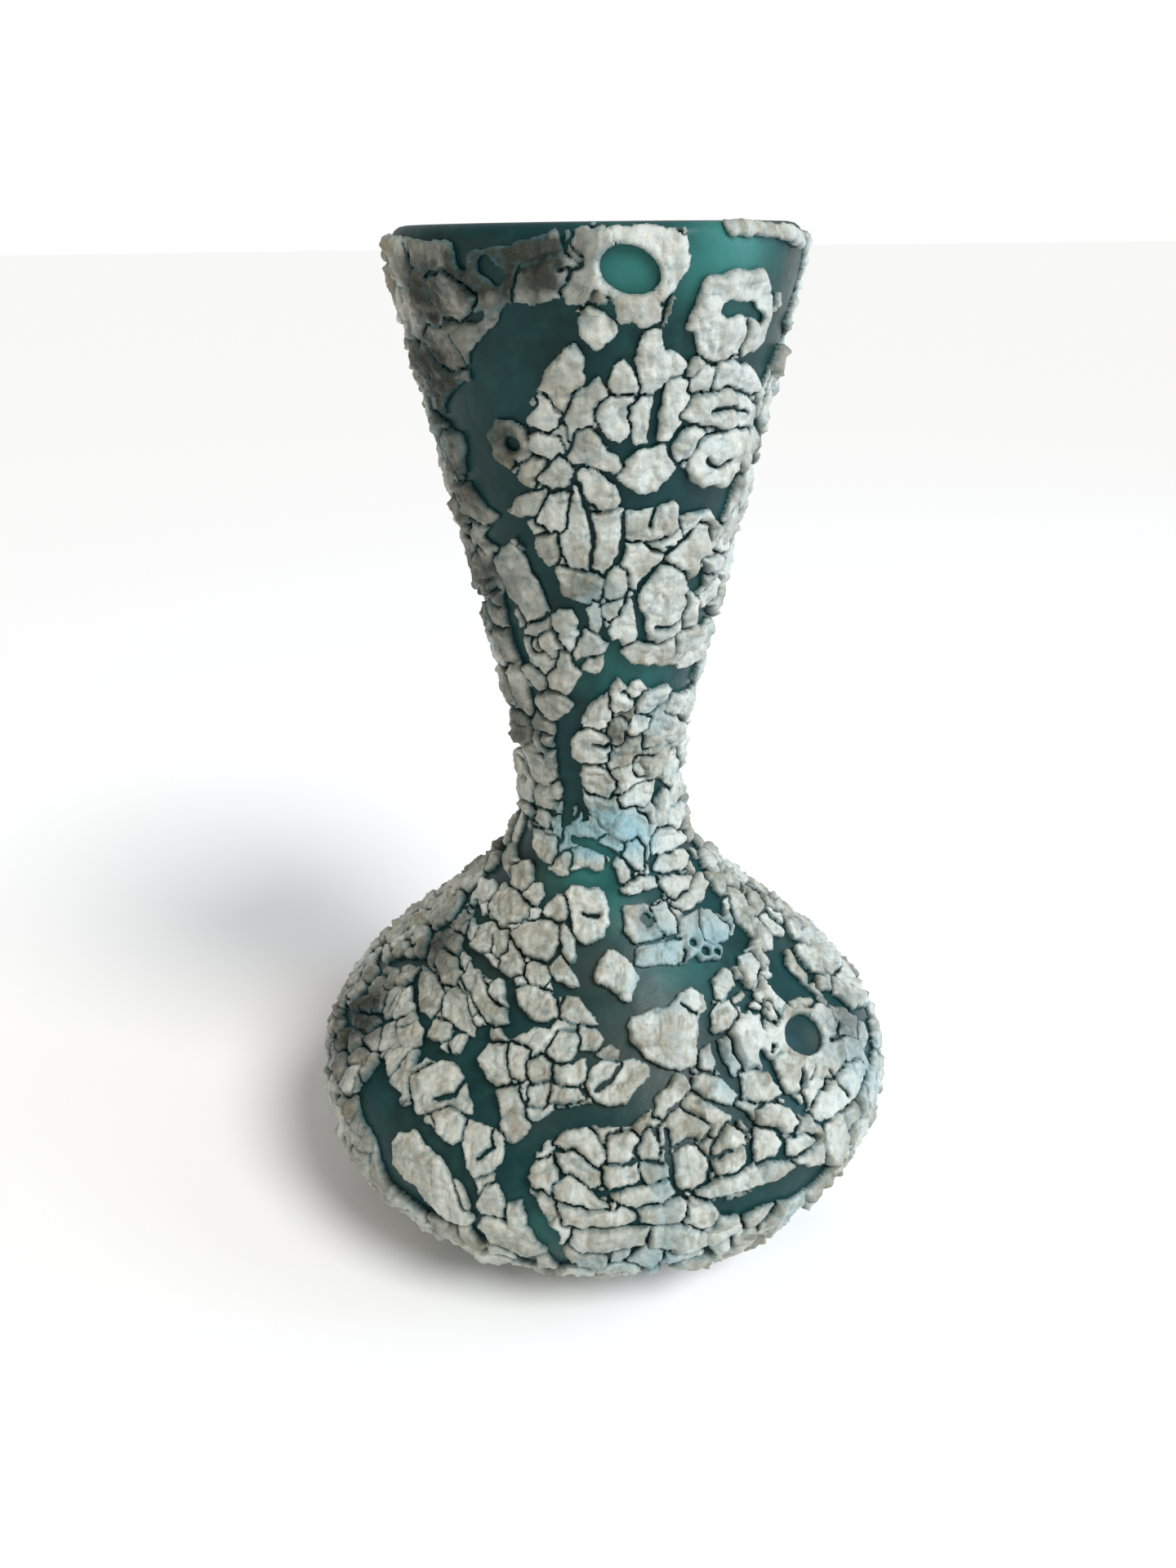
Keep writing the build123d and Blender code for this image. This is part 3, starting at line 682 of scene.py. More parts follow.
POOLS = (
    # the slant left of the mouth, and what lies round the upper eye
    Patch(0, ((-5, 182), (-5, 187), (-9, 189.6), (-16, 188.6), (-24, 189), (-27, 186), (-36, 183),
        (-41, 179.5), (-40, 177), (-50, 174.5), (-58, 172), (-58, 169), (-51, 167.5), (-52, 163),
        (-56, 160), (-50, 157), (-45, 155.5), (-40, 153.5), (-34, 151), (-24, 151.5), (-26, 154),
        (-34, 155), (-24, 159.3), (-28, 162), (-38, 165), (-37, 169), (-30, 171), (-22, 170.5),
        (-20, 174), (-12, 180.5))),
    Patch(0, ((17, 186), (20, 190), (22.5, 194), (21.5, 201), (57, 201), (57, 192), (55.5, 188.5),
        (50, 191.5), (46, 193.3), (33, 193), (27, 191.5), (24, 187), (23.5, 184.5), (26, 183.5),
        (27.5, 180.5), (24, 179.5), (18, 182), (16.5, 185))),
    Patch(0, ((-5, 181), (-4, 184.3), (-1, 181.8), (3, 183.3), (5.5, 185), (11, 184.8),
        (11.5, 182), (10, 180.5), (7, 180.3), (3, 179), (2, 176.5), (0, 178), (-4, 177),
        (-4.5, 180))),
    Patch(0, ((44, 179.3), (50, 178), (58, 175.5), (63, 174), (72, 184), (84, 188), (84, 197), (56, 197),
        (57, 186), (54, 181), (49, 180))),
    Patch(0, ((6.5, 162), (6.5, 156.3), (10, 155.3), (20, 156), (27, 157.3), (30, 154.2),
        (36, 154), (44, 153.3), (47, 150), (52, 150), (56, 153), (58, 157), (60, 160),
        (57, 161.8), (51, 157.5), (45, 158.2), (38, 159), (33, 159.7), (30, 161.5), (26, 163.2),
        (24.5, 162.5), (22, 160.5), (13, 158.5), (9, 160))),
    # trumpet
    Patch(0, ((-35, 150.5), (-30, 148.5), (-29, 144), (-24.5, 140), (-22, 137), (-14, 137.5),
        (-10, 136), (-9, 132.5), (-6, 134), (-6.5, 137.5), (-4, 139.3), (-11, 139), (-16, 141),
        (-17.5, 145), (-19.5, 145.5), (-24, 148), (-24.5, 152))),
    Patch(0, ((-52, 149), (-44, 147.7), (-36, 149.8), (-30, 152), (-38, 153.5), (-46, 152))),
    Patch(0, ((44, 143.5), (48, 143.5), (50, 142), (50, 139.5), (45, 138.5), (40.5, 140.5))),
    Patch(0, ((48, 135.5), (52, 136), (58, 134.5), (65, 134), (66, 131.5), (60, 130.5),
        (54, 131.5), (50, 132.5))),
    Patch(0, ((3.5, 131.5), (9, 131.5), (9.5, 129), (14, 126.8), (22, 126), (30, 125.2),
        (41, 124.8), (44, 123.2), (52, 122.8), (62, 123.5), (70, 121), (70, 116), (60, 117.5),
        (48, 117.5), (41, 118), (40, 120.5), (30, 120.5), (24, 122), (19, 122.3), (13, 122.3),
        (9, 123.5), (6, 122), (4, 121), (0, 120.5), (-4, 119.5), (-8, 117), (-10, 115),
        (-10, 113), (-13, 112.3), (-19, 110), (-18, 106), (-15, 105), (-14, 101), (-12, 97),
        (-9, 94.5), (-9, 92.5), (-15, 92), (-14, 95.5), (-21, 95), (-22, 92), (-28, 90),
        (-30, 96), (-28, 100), (-31, 104), (-31, 111), (-28, 113.5), (-24, 114.5), (-19, 116.5),
        (-16, 117.5), (-18, 120), (-13, 122), (-10.5, 124.8), (-7, 125), (-1, 125.2), (2, 128))),
    Patch(0, ((38, 95), (40, 99.5), (47, 99), (51, 97.5), (46, 96.3), (42, 95.5), (40, 93.5))),
    # neck
    Patch(0, ((-70, 90), (-60, 88.5), (-54, 86.5), (-49, 84.8), (-43, 83), (-37, 82.2),
        (-33, 81.5), (-27, 80.8), (-21, 81), (-18, 82.5), (-12, 83.2), (-6, 83), (1, 83),
        (4, 84.5), (7, 83.5), (8.5, 81.5), (11, 80), (11, 78.3), (14, 77.8), (32, 78.3),
        (34, 76.5), (24, 76.5), (12, 76.8), (10.5, 75.5), (10.5, 72.5), (13, 70.5), (12.5, 68.5),
        (12, 66.5), (16, 67.3), (22, 66.8), (28, 66.3), (34, 67), (40, 66.5), (44, 67.8),
        (48, 66.8), (56, 66.5), (66, 67), (66, 64), (50, 63), (36, 62.5), (28, 63.3), (24, 62.8),
        (14, 62.5), (6, 61.5), (0, 61), (-3, 62), (-6, 64.5), (-9, 67.5), (-11, 70), (-11, 71.3),
        (-8, 70.5), (0, 71.5), (3, 73.5), (3.5, 77), (1, 79.7), (-3, 80.2), (-18, 80),
        (-22, 78.5), (-28, 76.5), (-31, 74.8), (-35, 75.5), (-33, 77.5), (-36, 79.2), (-42, 78.9),
        (-46, 81.5), (-50, 82.2), (-58, 80.5), (-70, 82))),
    Patch(0, ((35, 73), (46, 72.5), (50, 72.8), (56, 72), (60, 69), (66, 70), (66, 73.5),
        (56, 72.9), (44, 72.8))),
    # shoulder and belly
    Patch(0, ((-70, 58), (-60, 55.5), (-51, 53.8), (-50, 51.5), (-44, 51.8), (-38, 51.5),
        (-37, 54.5), (-36, 57), (-32, 57.5), (-31, 56), (-31.5, 53), (-28.5, 50.8), (-25, 49.8),
        (-22, 46.8), (-21.5, 45), (-24, 45.8), (-28, 45.3), (-31, 48.3), (-35, 50.5), (-39, 51.3),
        (-45, 49.5), (-47, 47.5), (-50, 50.5), (-52, 52.5), (-62, 54), (-70, 56))),
    Patch(0, ((-45, 64.5), (-35, 63.5), (-30, 61), (-27.5, 58.5), (-30, 57.6), (-26, 56.5),
        (-20, 58.8), (-15, 59), (-14, 60.3), (-17, 59.7), (-22, 59.3), (-27, 61), (-30, 63),
        (-33, 65))),
    Patch(0, ((18, 34.5), (22, 33.5), (28, 33.3), (33, 32.8), (35, 34.8), (38, 33.5), (43, 30.5),
        (46, 28), (42, 26), (35, 26.5), (31, 28), (26, 28), (22, 29.5), (20, 31))),
    Patch(0, ((55, 60), (58, 58.5), (62, 58), (64, 62), (70, 60), (70, 50), (67, 51.5),
        (62, 53.5), (58, 54.5), (56, 57))),
    Patch(0, ((-57, 46), (-52, 44), (-46, 43.5), (-43.5, 41), (-44, 38), (-43, 34), (-42, 31),
        (-36, 29), (-33, 27.5), (-30, 25), (-36, 24), (-44, 26), (-46, 30), (-48, 34), (-54, 36),
        (-58, 38))),
)


# ---------------------------------------------------------------- the crust as a pattern
@dataclass(frozen=True)
class Zone:
    """A belt of the pot whose plates make a few pieces, cut apart along cracks.

    Levels are in mm, and edges are the angles in degrees where one piece ends and the next begins.
    """

    node: str
    low: float
    high: float
    edges: tuple


# Fields of small plates: their size in mm, and the angles and levels that they lie between.
FINE_PLATES = ((3.3, -100, -54, 34, 58),)

ZONES = (
    Zone("crust_underside", 0.0, 19.0, (-90.0, 90.0)),
    Zone("crust_belly", 19.0, 42.0, (-85.0, 0.0, 85.0, 180.0)),
    Zone("crust_shoulder", 42.0, 69.0, (-85.0, 0.0, 85.0, 180.0)),
    Zone("crust_neck", 69.0, 111.0, (-90.0, 90.0)),
    Zone("crust_trumpet", 111.0, 150.0, (-90.0, 90.0)),
    Zone("crust_mouth", 150.0, 201.0, (-95.0, 10.0, 130.0)),
)


@dataclass(frozen=True)
class Places:
    """Points of the wall: angle in radians, distance along the wall and radius of the pot in mm."""

    angle: np.ndarray
    distance: np.ndarray
    radius: np.ndarray

    def pick(self, chosen: np.ndarray) -> "Places":
        """Only the chosen points."""
        return Places(self.angle[chosen], self.distance[chosen], self.radius[chosen])


@dataclass
class Samples:
    """What the crust is at many points: all arrays have the same shape.

    gap is the distance to the nearest edge of the crust in mm, positive on the crust. lift is the
    height of its top above the green coat. piece says which piece the point belongs to. The rest
    colours it: tone from -1 white to 1 brown, and from 0 to 1 froth, the teal along plate edges and in
    creases (partly the green showing through, partly painted shade) and the olive of stains and of
    painted shade.
    """

    gap: np.ndarray
    lift: np.ndarray
    piece: np.ndarray
    tone: np.ndarray
    froth: np.ndarray
    edge_green_and_shade: np.ndarray
    stain_and_shade: np.ndarray


@dataclass(frozen=True)
class Relief:
    """Sizes in mm that shape the top of a plate, and how much thinner the crust is high up."""

    puffs: tuple = ((4.0, 6, 0.66), (2.0, 7, 0.56), (0.9, 8, 0.34))
    puff_mean: float = 0.24
    shelf: float = 0.48
    edge_width: float = 0.8
    edge_start: float = 0.26
    most_lean: float = 0.55
    eye_rim: float = 0.12
    curl: float = 0.30
    thin_by_froth: float = 0.45
    thin_high_up: float = 0.20
    thin_at_lip: float = 0.35
    least: float = 0.25


@dataclass(frozen=True)
class Foam:
    """A frothy spot: angle and half-width in degrees, height and half-height in mm, strength."""

    angle: float
    wide: float
    level: float
    tall: float
    strength: float


FOAMS = (
    Foam(6, 26, 90, 6.0, 1.0), Foam(-20, 18, 90, 4.0, 0.8), Foam(45, 16, 66.5, 4.0, 1.0),
    Foam(4, 11, 21, 4.5, 0.6), Foam(66, 10, 38, 8.0, 0.6),
)


@dataclass
class CrustPattern:
    """All the plates of the crust: those listed for the front, and chance ones elsewhere.

    The outlined plates are numbered after the loose ones, which chance places.
    """

    wall: Wall
    typical: float = 4.6
    smallest: float = 3.9
    size_range: float = 2.2
    largest: float = 8.0
    large_above: float = 0.93
    spread: float = 0.62
    tries: int = 16000
    clear_of_plate: float = -1.2
    raft_size: float = 25.0
    front_angle: float = 68.0
    front_level: float = 22.0
    thickness: float = 1.55
    crack: float = 0.20
    channel: float = 1.5
    piece_crack: float = 0.26
    corner_round: float = 0.22
    moat: float = 0.34
    grow: float = 0.30
    sliver: float = 0.7
    crown_level: float = 198.6
    foot_clear: float = 6.0
    eye_edge: float = 0.8
    shape: Relief = Relief()
    wander: float = 1.3
    jitter: float = 0.45
    quiver: float = 0.18
    firm: float = 0.25
    tear_slope: float = 4.0
    tear_width: float = 0.24
    seed: int = 5
    angle: np.ndarray = field(init=False)
    distance: np.ndarray = field(init=False)
    size: np.ndarray = field(init=False)
    centre: np.ndarray = field(init=False)
    bias: np.ndarray = field(init=False)
    thick: np.ndarray = field(init=False)
    tilt: np.ndarray = field(init=False)
    tone: np.ndarray = field(init=False)
    raft: np.ndarray = field(init=False)
    piece: np.ndarray = field(init=False)
    loose: int = field(init=False)

    def __post_init__(self) -> None:
        """Set the plates out and give each one its own thickness, tilt, tone and raft."""
        chance = np.random.default_rng(self.seed)
        self.scatter(chance)
        self.loose = len(self.angle)
        middles = np.array([np.mean(plate.points, axis=0) for plate in PLATES])
        self.angle = np.concatenate([self.angle, np.radians(middles[:, 0])])
        self.distance = np.concatenate([self.distance, self.wall.distance_at(middles[:, 1])])
        self.size = np.concatenate([self.size, np.full(len(PLATES), self.typical)])
        count = len(self.angle)
        self.centre = self.wall.place(self.angle, self.distance, np.zeros(count))
        self.bias = 0.9 * (self.size - self.typical)
        self.thick = self.thickness * chance.uniform(0.78, 1.22, count) + 0.03 * self.bias
        self.tilt = chance.normal(0.0, 0.10, (count, 3))
        self.tone = chance.uniform(-1.0, 1.0, count)
        self.tone[self.loose:] = [plate.tone for plate in PLATES]
        self.raft = self.rafts(chance)
        self.piece = self.pieces()

    def scatter(self, chance: np.random.Generator) -> None:
        """Throw plates at the pot and keep those that land clear of the ones already there.

        Two plates are clear of each other when they are a share of their summed sizes apart.
        Places are chosen evenly by area: the distance along the wall follows the running sum of
        the radius. None is kept on or near an outlined plate, or in a bare pool.

        Args:
            chance: the source of chance values.
        """
        steps = np.linspace(0.0, self.wall.length, 2000)
        area = np.cumsum(self.wall.at(steps)[0])
        runs = np.interp(chance.uniform(0, area[-1], self.tries), area, steps)
        turned = chance.uniform(-math.pi, math.pi, self.tries)
        drawn = chance.uniform(0.0, 1.0, self.tries)
        sizes = self.smallest + self.size_range * drawn
        sizes = np.where(drawn > self.large_above, self.largest, sizes)
        degrees, level = np.degrees(turned), self.wall.at(runs)[1]
        for size, left, right, low, high in FINE_PLATES:
            fine = (degrees > left) & (degrees < right) & (level > low) & (level < high)
            sizes = np.where(fine, size, sizes)
        spots = self.wall.place(turned, runs, np.zeros(self.tries))
        tried = Places(turned, runs, np.hypot(spots[:, 0], spots[:, 1]))
        free = np.ones(self.tries, dtype=bool)
        for patches, deepest in ((PLATES, self.clear_of_plate), (POOLS, 0.0)):
            for patch in patches:
                near = self.near(patch.points, 3.0, tried)
                free[near] &= self.patch_depth(patch, tried.pick(near)) < deepest
        reach = sizes * self.spread
        kept = []
        for number in np.flatnonzero(free):
            apart = np.linalg.norm(spots[kept] - spots[number], axis=1)
            if np.all(apart > reach[kept] + reach[number]):
                kept.append(number)
        self.angle, self.distance, self.size = turned[kept], runs[kept], sizes[kept]

    def rafts(self, chance: np.random.Generator) -> np.ndarray:
        """Group the plates into rafts, each round the nearest of some widely spaced ones.

        Args:
            chance: the source of chance values.

        Returns:
            The raft of each plate, -1 on the front, where the channels are drawn as listed strokes.
        """
        leaders = []
        for number in chance.permutation(len(self.angle)):
            away = np.linalg.norm(self.centre[leaders] - self.centre[number], axis=1)
            if not leaders or np.all(away > self.raft_size):
                leaders.append(number)
        away = np.linalg.norm(self.centre[:, None] - self.centre[leaders][None], axis=2)
        front = np.abs(np.degrees(self.angle)) < self.front_angle
        front &= self.centre[:, 2] > self.front_level
        return np.where(front, -1, np.argmin(away, axis=1))

    def pieces(self) -> np.ndarray:
        """Sort the plates into pieces by their height and angle.

        Returns:
            The piece of each plate.
        """
        numbers = np.zeros(len(self.angle), dtype=int)
        first = 0
        for zone in ZONES:
            inside = (self.centre[:, 2] >= zone.low) & (self.centre[:, 2] < zone.high)
            turned = (np.degrees(self.angle) - zone.edges[0]) % 360.0
            ends = (np.array(zone.edges) - zone.edges[0]) % 360.0
            numbers[inside] = first + np.searchsorted(ends, turned[inside], side="right") - 1
            first += len(zone.edges)
        return numbers

    def nearest(self, spots: np.ndarray) -> tuple:
        """The four plates nearest each point, each plate's distance less what its size adds.

        Args:
            spots: points in mm, one per row.

        Returns:
            Plate numbers and distances, nearest first, as two arrays of four columns.
        """
        low, high = spots[:, 2].min() - 17.0, spots[:, 2].max() + 17.0
        loose = self.centre[:self.loose, 2]
        near = np.flatnonzero((loose > low) & (loose < high))
        centres = self.centre[near]
        square = (spots**2).sum(1)[:, None] + (centres**2).sum(1) - 2.0 * spots @ centres.T
        away = np.sqrt(np.maximum(square, 0.0)) - self.bias[near]
        four = np.argpartition(away, 4, axis=1)[:, :4]
        found = np.take_along_axis(away, four, axis=1)
        order = np.argsort(found, axis=1)
        return near[np.take_along_axis(four, order, axis=1)], np.take_along_axis(found, order, axis=1)

    def cells(self, spots: np.ndarray, wobble: np.ndarray) -> tuple:
        """Distance inside the plate that holds each point, and that plate's number.

        Half the difference of two plates' distances, divided by its slope, is the distance to the
        line between them. Half the crack's width is taken off: it varies by noise and by a chance
        value of the pair, and where it comes out narrow the two plates run into each other. The
        least value over the next three plates is eased so that corners are round.

        Args:
            spots: points in mm, one per row.
            wobble: noise that widens and narrows the cracks.

        Returns:
            The distance to the crack, and the plate's number.
        """
        plates, away = self.nearest(spots)
        own = plates[:, 0]
        toward = spots - self.centre[own]
        toward /= np.linalg.norm(toward, axis=1, keepdims=True) + 1e-6
        total = np.zeros(len(spots))
        for rank in (1, 2, 3):
            other = plates[:, rank]
            line = spots - self.centre[other]
            line /= np.linalg.norm(line, axis=1, keepdims=True) + 1e-6
            slope = np.sqrt(np.maximum(0.5 * (1.0 - (toward * line).sum(1)), 0.09))
            pair = np.sin(12.9898 * (own + other) + 78.233 * np.abs(own - other)) * 43758.5453
            pair = 2.0 * (pair - np.floor(pair)) - 1.0
            width = self.crack + 0.30 * wobble + 0.22 * pair
            width = np.where(width < 0.16, np.minimum(0.5 * width - 0.10, -0.06), width)
            parted = (self.raft[own] >= 0) & (self.raft[other] >= 0)
            parted &= self.raft[own] != self.raft[other]
            width = np.where(parted, self.channel + 0.7 * wobble, width)
            cut = self.piece[own] != self.piece[other]
            width = np.where(cut, np.maximum(width, self.piece_crack), width)
            gap = 0.5 * (away[:, rank] - away[:, 0]) / slope - width
            total += np.exp(-np.clip(gap, -2.0, 6.0) / self.corner_round)
        return -self.corner_round * np.log(total), own

    def corners(self, points: tuple) -> tuple:
        """Find a line's points on the wall.

        Args:
            points: the points, each an angle in degrees and a height in mm.

        Returns:
            Their angles in radians and their distances along the wall.
        """
        turns = np.radians([point[0] for point in points])
        return turns, self.wall.distance_at(np.array([point[1] for point in points], dtype=float))

    def near(self, points: tuple, margin: float, places: Places) -> np.ndarray:
        """Which points of the wall lie within a margin of a line's box.

        Args:
            points: the line's points.
            margin: the margin in mm.
            places: points of the wall.

        Returns:
            True where a point is near.
        """
        turns, runs = self.corners(points)
        close = (places.distance > runs.min() - margin) & (places.distance < runs.max() + margin)
        close &= places.radius * (places.angle - turns.max()) < margin
        return close & (places.radius * (turns.min() - places.angle) < margin)

    def line_distance(self, points: tuple, places: Places) -> np.ndarray:
        """Distance in mm from points of the wall to a line on it, measured along the wall.

        Args:
            points: the line's points.
            places: points of the wall.

        Returns:
            The distances.
        """
        turns, runs = self.corners(points)
        best = np.full(places.angle.shape, 1e3)
        for start in range(len(turns) - 1):
            across = places.radius * (places.angle - turns[start])
            along = places.distance - runs[start]
            wide = places.radius * (turns[start + 1] - turns[start])
            tall = runs[start + 1] - runs[start]
            share = np.clip((across * wide + along * tall) / (wide**2 + tall**2 + 1e-9), 0.0, 1.0)
            best = np.minimum(best, np.hypot(across - share * wide, along - share * tall))
        return best

    def patch_depth(self, patch: Patch, places: Places) -> np.ndarray:
        """Distance in mm inside a patch's outline, negative outside it.

        A point is inside when a line from it round the pot crosses the outline an odd number of
        times.

        Args:
            patch: the patch.
            places: points of the wall.

        Returns:
            The distances.
        """
        ring = patch.points + patch.points[:1]
        turns, runs = self.corners(ring)
        inside = np.zeros(places.angle.shape, dtype=bool)
        for start in range(len(turns) - 1):
            spans = (runs[start] > places.distance) != (runs[start + 1] > places.distance)
            share = (places.distance - runs[start]) / (runs[start + 1] - runs[start] + 1e-9)
            edge = turns[start] + share * (turns[start + 1] - turns[start])
            inside ^= spans & (places.angle < edge)
        away = self.line_distance(ring, places)
        return np.where(inside, away, -away)

    def apply_strokes(self, mark: Mark, gap: np.ndarray, places: Places,
                      ragged: np.ndarray) -> None:
        """Cut the strokes of one kind out of the crust.

        Args:
            mark: the kind.
            gap: distance to the nearest edge so far, changed in place.
            places: points of the wall.
            ragged: noise that widens and narrows the strokes.
        """
        for stroke in STROKES:
            if stroke.mark is not mark:
                continue
            near = self.near(stroke.points, stroke.width + 3.0, places)
            if near.any():
                away = self.line_distance(stroke.points, places.pick(near))
                half = stroke.width * (0.5 + 0.30 * ragged[near])
                gap[near] = np.minimum(gap[near], away - half)

    def apply_patches(self, gap: np.ndarray, own: np.ndarray, places: Places) -> None:
        """Empty the pools, then lay the outlined plates, each inside a narrow moat.

        Args:
            gap: distance to the nearest edge so far, changed in place.
            own: the plate at each point, changed in place.
            places: points of the wall.
        """
        for pool in POOLS:
            near = self.near(pool.points, 4.0, places)
            if near.any():
                gap[near] = np.minimum(gap[near], -self.patch_depth(pool, places.pick(near)))
        self.apply_strokes(BARE, gap, places, np.zeros(gap.shape))
        for number, plate in enumerate(PLATES):
            near = self.near(plate.points, 4.0, places)
            if not near.any():
                continue
            depth = self.patch_depth(plate, places.pick(near)) + self.grow
            inside = depth > -0.5 * self.moat
            outer = np.minimum(gap[near], -depth - self.moat)
            gap[near] = np.where(inside, depth, outer)
            own[near] = np.where(inside, self.loose + number, own[near])

    def eye_distance(self, eye: Eye, places: Places) -> np.ndarray:
        """Distance in mm outside an eye's edge: an ellipse turned by the eye's tilt.

        Args:
            eye: the eye.
            places: points of the wall.

        Returns:
            The distances, negative inside.
        """
        across = places.radius * (places.angle - math.radians(eye.angle))
        along = places.distance - float(self.wall.distance_at(np.array(eye.level)))
        cos, sin = math.cos(math.radians(eye.tilt)), math.sin(math.radians(eye.tilt))
        long = (across * cos + along * sin) * 2.0 / eye.wide
        short = (along * cos - across * sin) * 2.0 / eye.tall
        return (np.hypot(long, short) - 1.0) * 0.5 * min(eye.wide, eye.tall)

    def sample(self, angle: np.ndarray, distance: np.ndarray) -> Samples:
        """Work the crust out at points of the wall.

        The points are first shifted by noise, so that every edge wanders; what is outlined in the
        lists wanders less. First come the cells of the loose plates, torn where another noise is
        near nothing, then the outlined pools and plates, and then the cracks. A plate that is
        nowhere wide is dropped.

        Args:
            angle: angles in radians, one row per distance.
            distance: distances along the wall in mm, the same shape.

        Returns:
            The samples.
        """
        spots = self.wall.place(angle, distance, np.zeros(angle.shape))
        radius = np.hypot(spots[..., 0], spots[..., 1])
        wobble = speckle(spots, 6.0, 5)
        broad = [self.wander * speckle(spots, 5.5, seed) for seed in (1, 2)]
        fine = [self.jitter * speckle(spots, 1.8, seed) + self.quiver * speckle(spots, 0.8, seed + 9)
                for seed in (11, 12)]
        turned = angle + (broad[0] + fine[0]) / radius
        shifted = self.wall.place(turned, distance + broad[1] + fine[1], np.zeros(angle.shape))
        gap = np.empty(angle.shape)
        own = np.empty(angle.shape, dtype=int)
        for start in range(0, len(angle), 10):
            rows = slice(start, start + 10)
            shape = angle[rows].shape
            found = self.cells(shifted[rows].reshape(-1, 3), wobble[rows].reshape(-1))
            gap[rows], own[rows] = found[0].reshape(shape), found[1].reshape(shape)
        tear = np.abs(speckle(shifted, 4.4, 31)) * self.tear_slope - self.tear_width
        tear += 2.0 * ease(0.30, -0.10, speckle(spots, 8.0, 32))
        gap = np.minimum(gap, tear)
        turned = angle + (self.firm * broad[0] + fine[0]) / radius
        moved = Places(turned, distance + self.firm * broad[1] + fine[1], radius)
        self.apply_patches(gap, own, moved)
        peak = np.zeros(len(self.angle))
        np.maximum.at(peak, own.ravel(), gap.ravel())
        gap = np.where(peak[own] < self.sliver, np.minimum(gap, -0.1), gap)
        self.apply_strokes(CRACK, gap, moved, 0.8 * wobble)
        gap, ring = self.trim(gap, Places(angle, distance, radius), wobble, 2.0 * fine[1])
        return self.relief(gap, ring, spots, own)

    def trim(self, gap: np.ndarray, places: Places, wobble: np.ndarray,
             ragged: np.ndarray) -> tuple:
        """End the crust below the lip and above the foot, lay the strip on the lip, cut the eyes.

        Args:
            gap: distance to the nearest edge so far.
            places: points of the wall.
            wobble: slow noise.
            ragged: quick noise in mm.

        Returns:
            The gap, and the distance to the raised rim of an eye.
        """
        turn = np.degrees(places.angle)
        crown = float(self.wall.distance_at(np.array(self.crown_level)))
        crown = crown + 0.5 * wobble + 0.4 * ragged
        crown -= 1.8 * np.exp(-(((turn + 29.0) / 12.0) ** 2))
        crown += 1.9 * np.exp(-(((turn - 7.0) / 15.0) ** 2))
        foot = places.distance - self.foot_clear - 1.5 * wobble
        gap = np.minimum(gap, np.minimum(crown - places.distance, foot))
        away = self.line_distance(RIM_STRIP.points, places)
        gap = np.maximum(gap, RIM_STRIP.width / 2.0 + 0.35 * ragged - away)
        ring = np.full(gap.shape, 9.0)
        for eye in EYES:
            away = self.eye_distance(eye, places) + 0.10 * ragged
            ring_width = 0.9 + 0.08 * eye.wide + 1.2 * wobble + 0.5 * ragged
            band = np.minimum(away, ring_width - away)
            gap = np.where(away < self.eye_edge, band, np.maximum(gap, band))
            ring = np.minimum(ring, np.abs(away - self.eye_edge))
        return gap, ring

    def relief(self, gap: np.ndarray, ring: np.ndarray, spots: np.ndarray,
               own: np.ndarray) -> Samples:
        """Height and character of the crust's top.

        It rises from its edge as a quarter of an ellipse. Puffs of three sizes, each the size of
        a noise's value without its sign, meet in sharp creases. Low shelves make it look torn in
        layers. Each plate leans its own way, and some curl up along the edge.

        Args:
            gap: distance to the nearest edge.
            ring: distance to the raised rim of an eye.
            spots: points of the wall in mm.
            own: the plate at each point.

        Returns:
            The samples.
        """
        shape, level = self.shape, spots[..., 2]
        puffs = [np.abs(speckle(spots, size, seed)) for size, seed, _ in shape.puffs]
        lumps = sum(high * (puff - shape.puff_mean) for puff, (_, _, high) in zip(puffs, shape.puffs))
        shelves = ease(-0.05, 0.05, speckle(spots, 3.6, 41)) - 0.5
        shelves += 0.7 * (ease(-0.06, 0.06, speckle(spots, 2.1, 42)) - 0.5)
        lumps += shape.shelf * shelves
        lean = ((spots - self.centre[own]) * self.tilt[own]).sum(-1)
        lean = np.clip(lean, -shape.most_lean, shape.most_lean)
        inside = np.clip(gap / shape.edge_width, 0.0, 1.0)
        rise = np.sqrt(1.0 - (1.0 - inside) ** 2)
        round_edge = shape.edge_start + (1.0 - shape.edge_start) * rise
        froth = self.froth(spots)
        thick = self.thick[own] * (1.0 - shape.thin_by_froth * froth)
        thick += shape.eye_rim * np.exp(-((ring / 0.7) ** 2))
        thick *= (1.0 - shape.thin_high_up * ease(100.0, 160.0, level)
                  - shape.thin_at_lip * ease(196.5, 200.0, level))
        curl = shape.curl * np.maximum(self.tone[own], 0.0) * np.exp(-(((gap - 0.9) / 0.5) ** 2))
        lift = thick * round_edge + inside * (lean + lumps) + curl
        # Painted shade: the teal mask is strongest near each plate's edge and in the creases between
        # puffs, where shade falls; near the edge it is also the green glaze showing through the thin
        # crust.
        crease = np.exp(-((puffs[0] / 0.06) ** 2)) + 0.6 * np.exp(-((puffs[1] / 0.08) ** 2))
        edge_green_and_shade = np.clip(0.8 * (1.0 - inside) ** 2 + 0.42 * crease, 0.0, 1.0)
        # Stains, plus painted shade low on the belly's left.
        stain_and_shade = soft_spots(spots, self.wall, STAINS_AND_SHADE)
        lift = np.maximum(lift, shape.least)
        tone = self.tone[own] + 0.7 * shelves
        return Samples(gap, lift, self.piece[own], tone, froth, edge_green_and_shade, stain_and_shade)

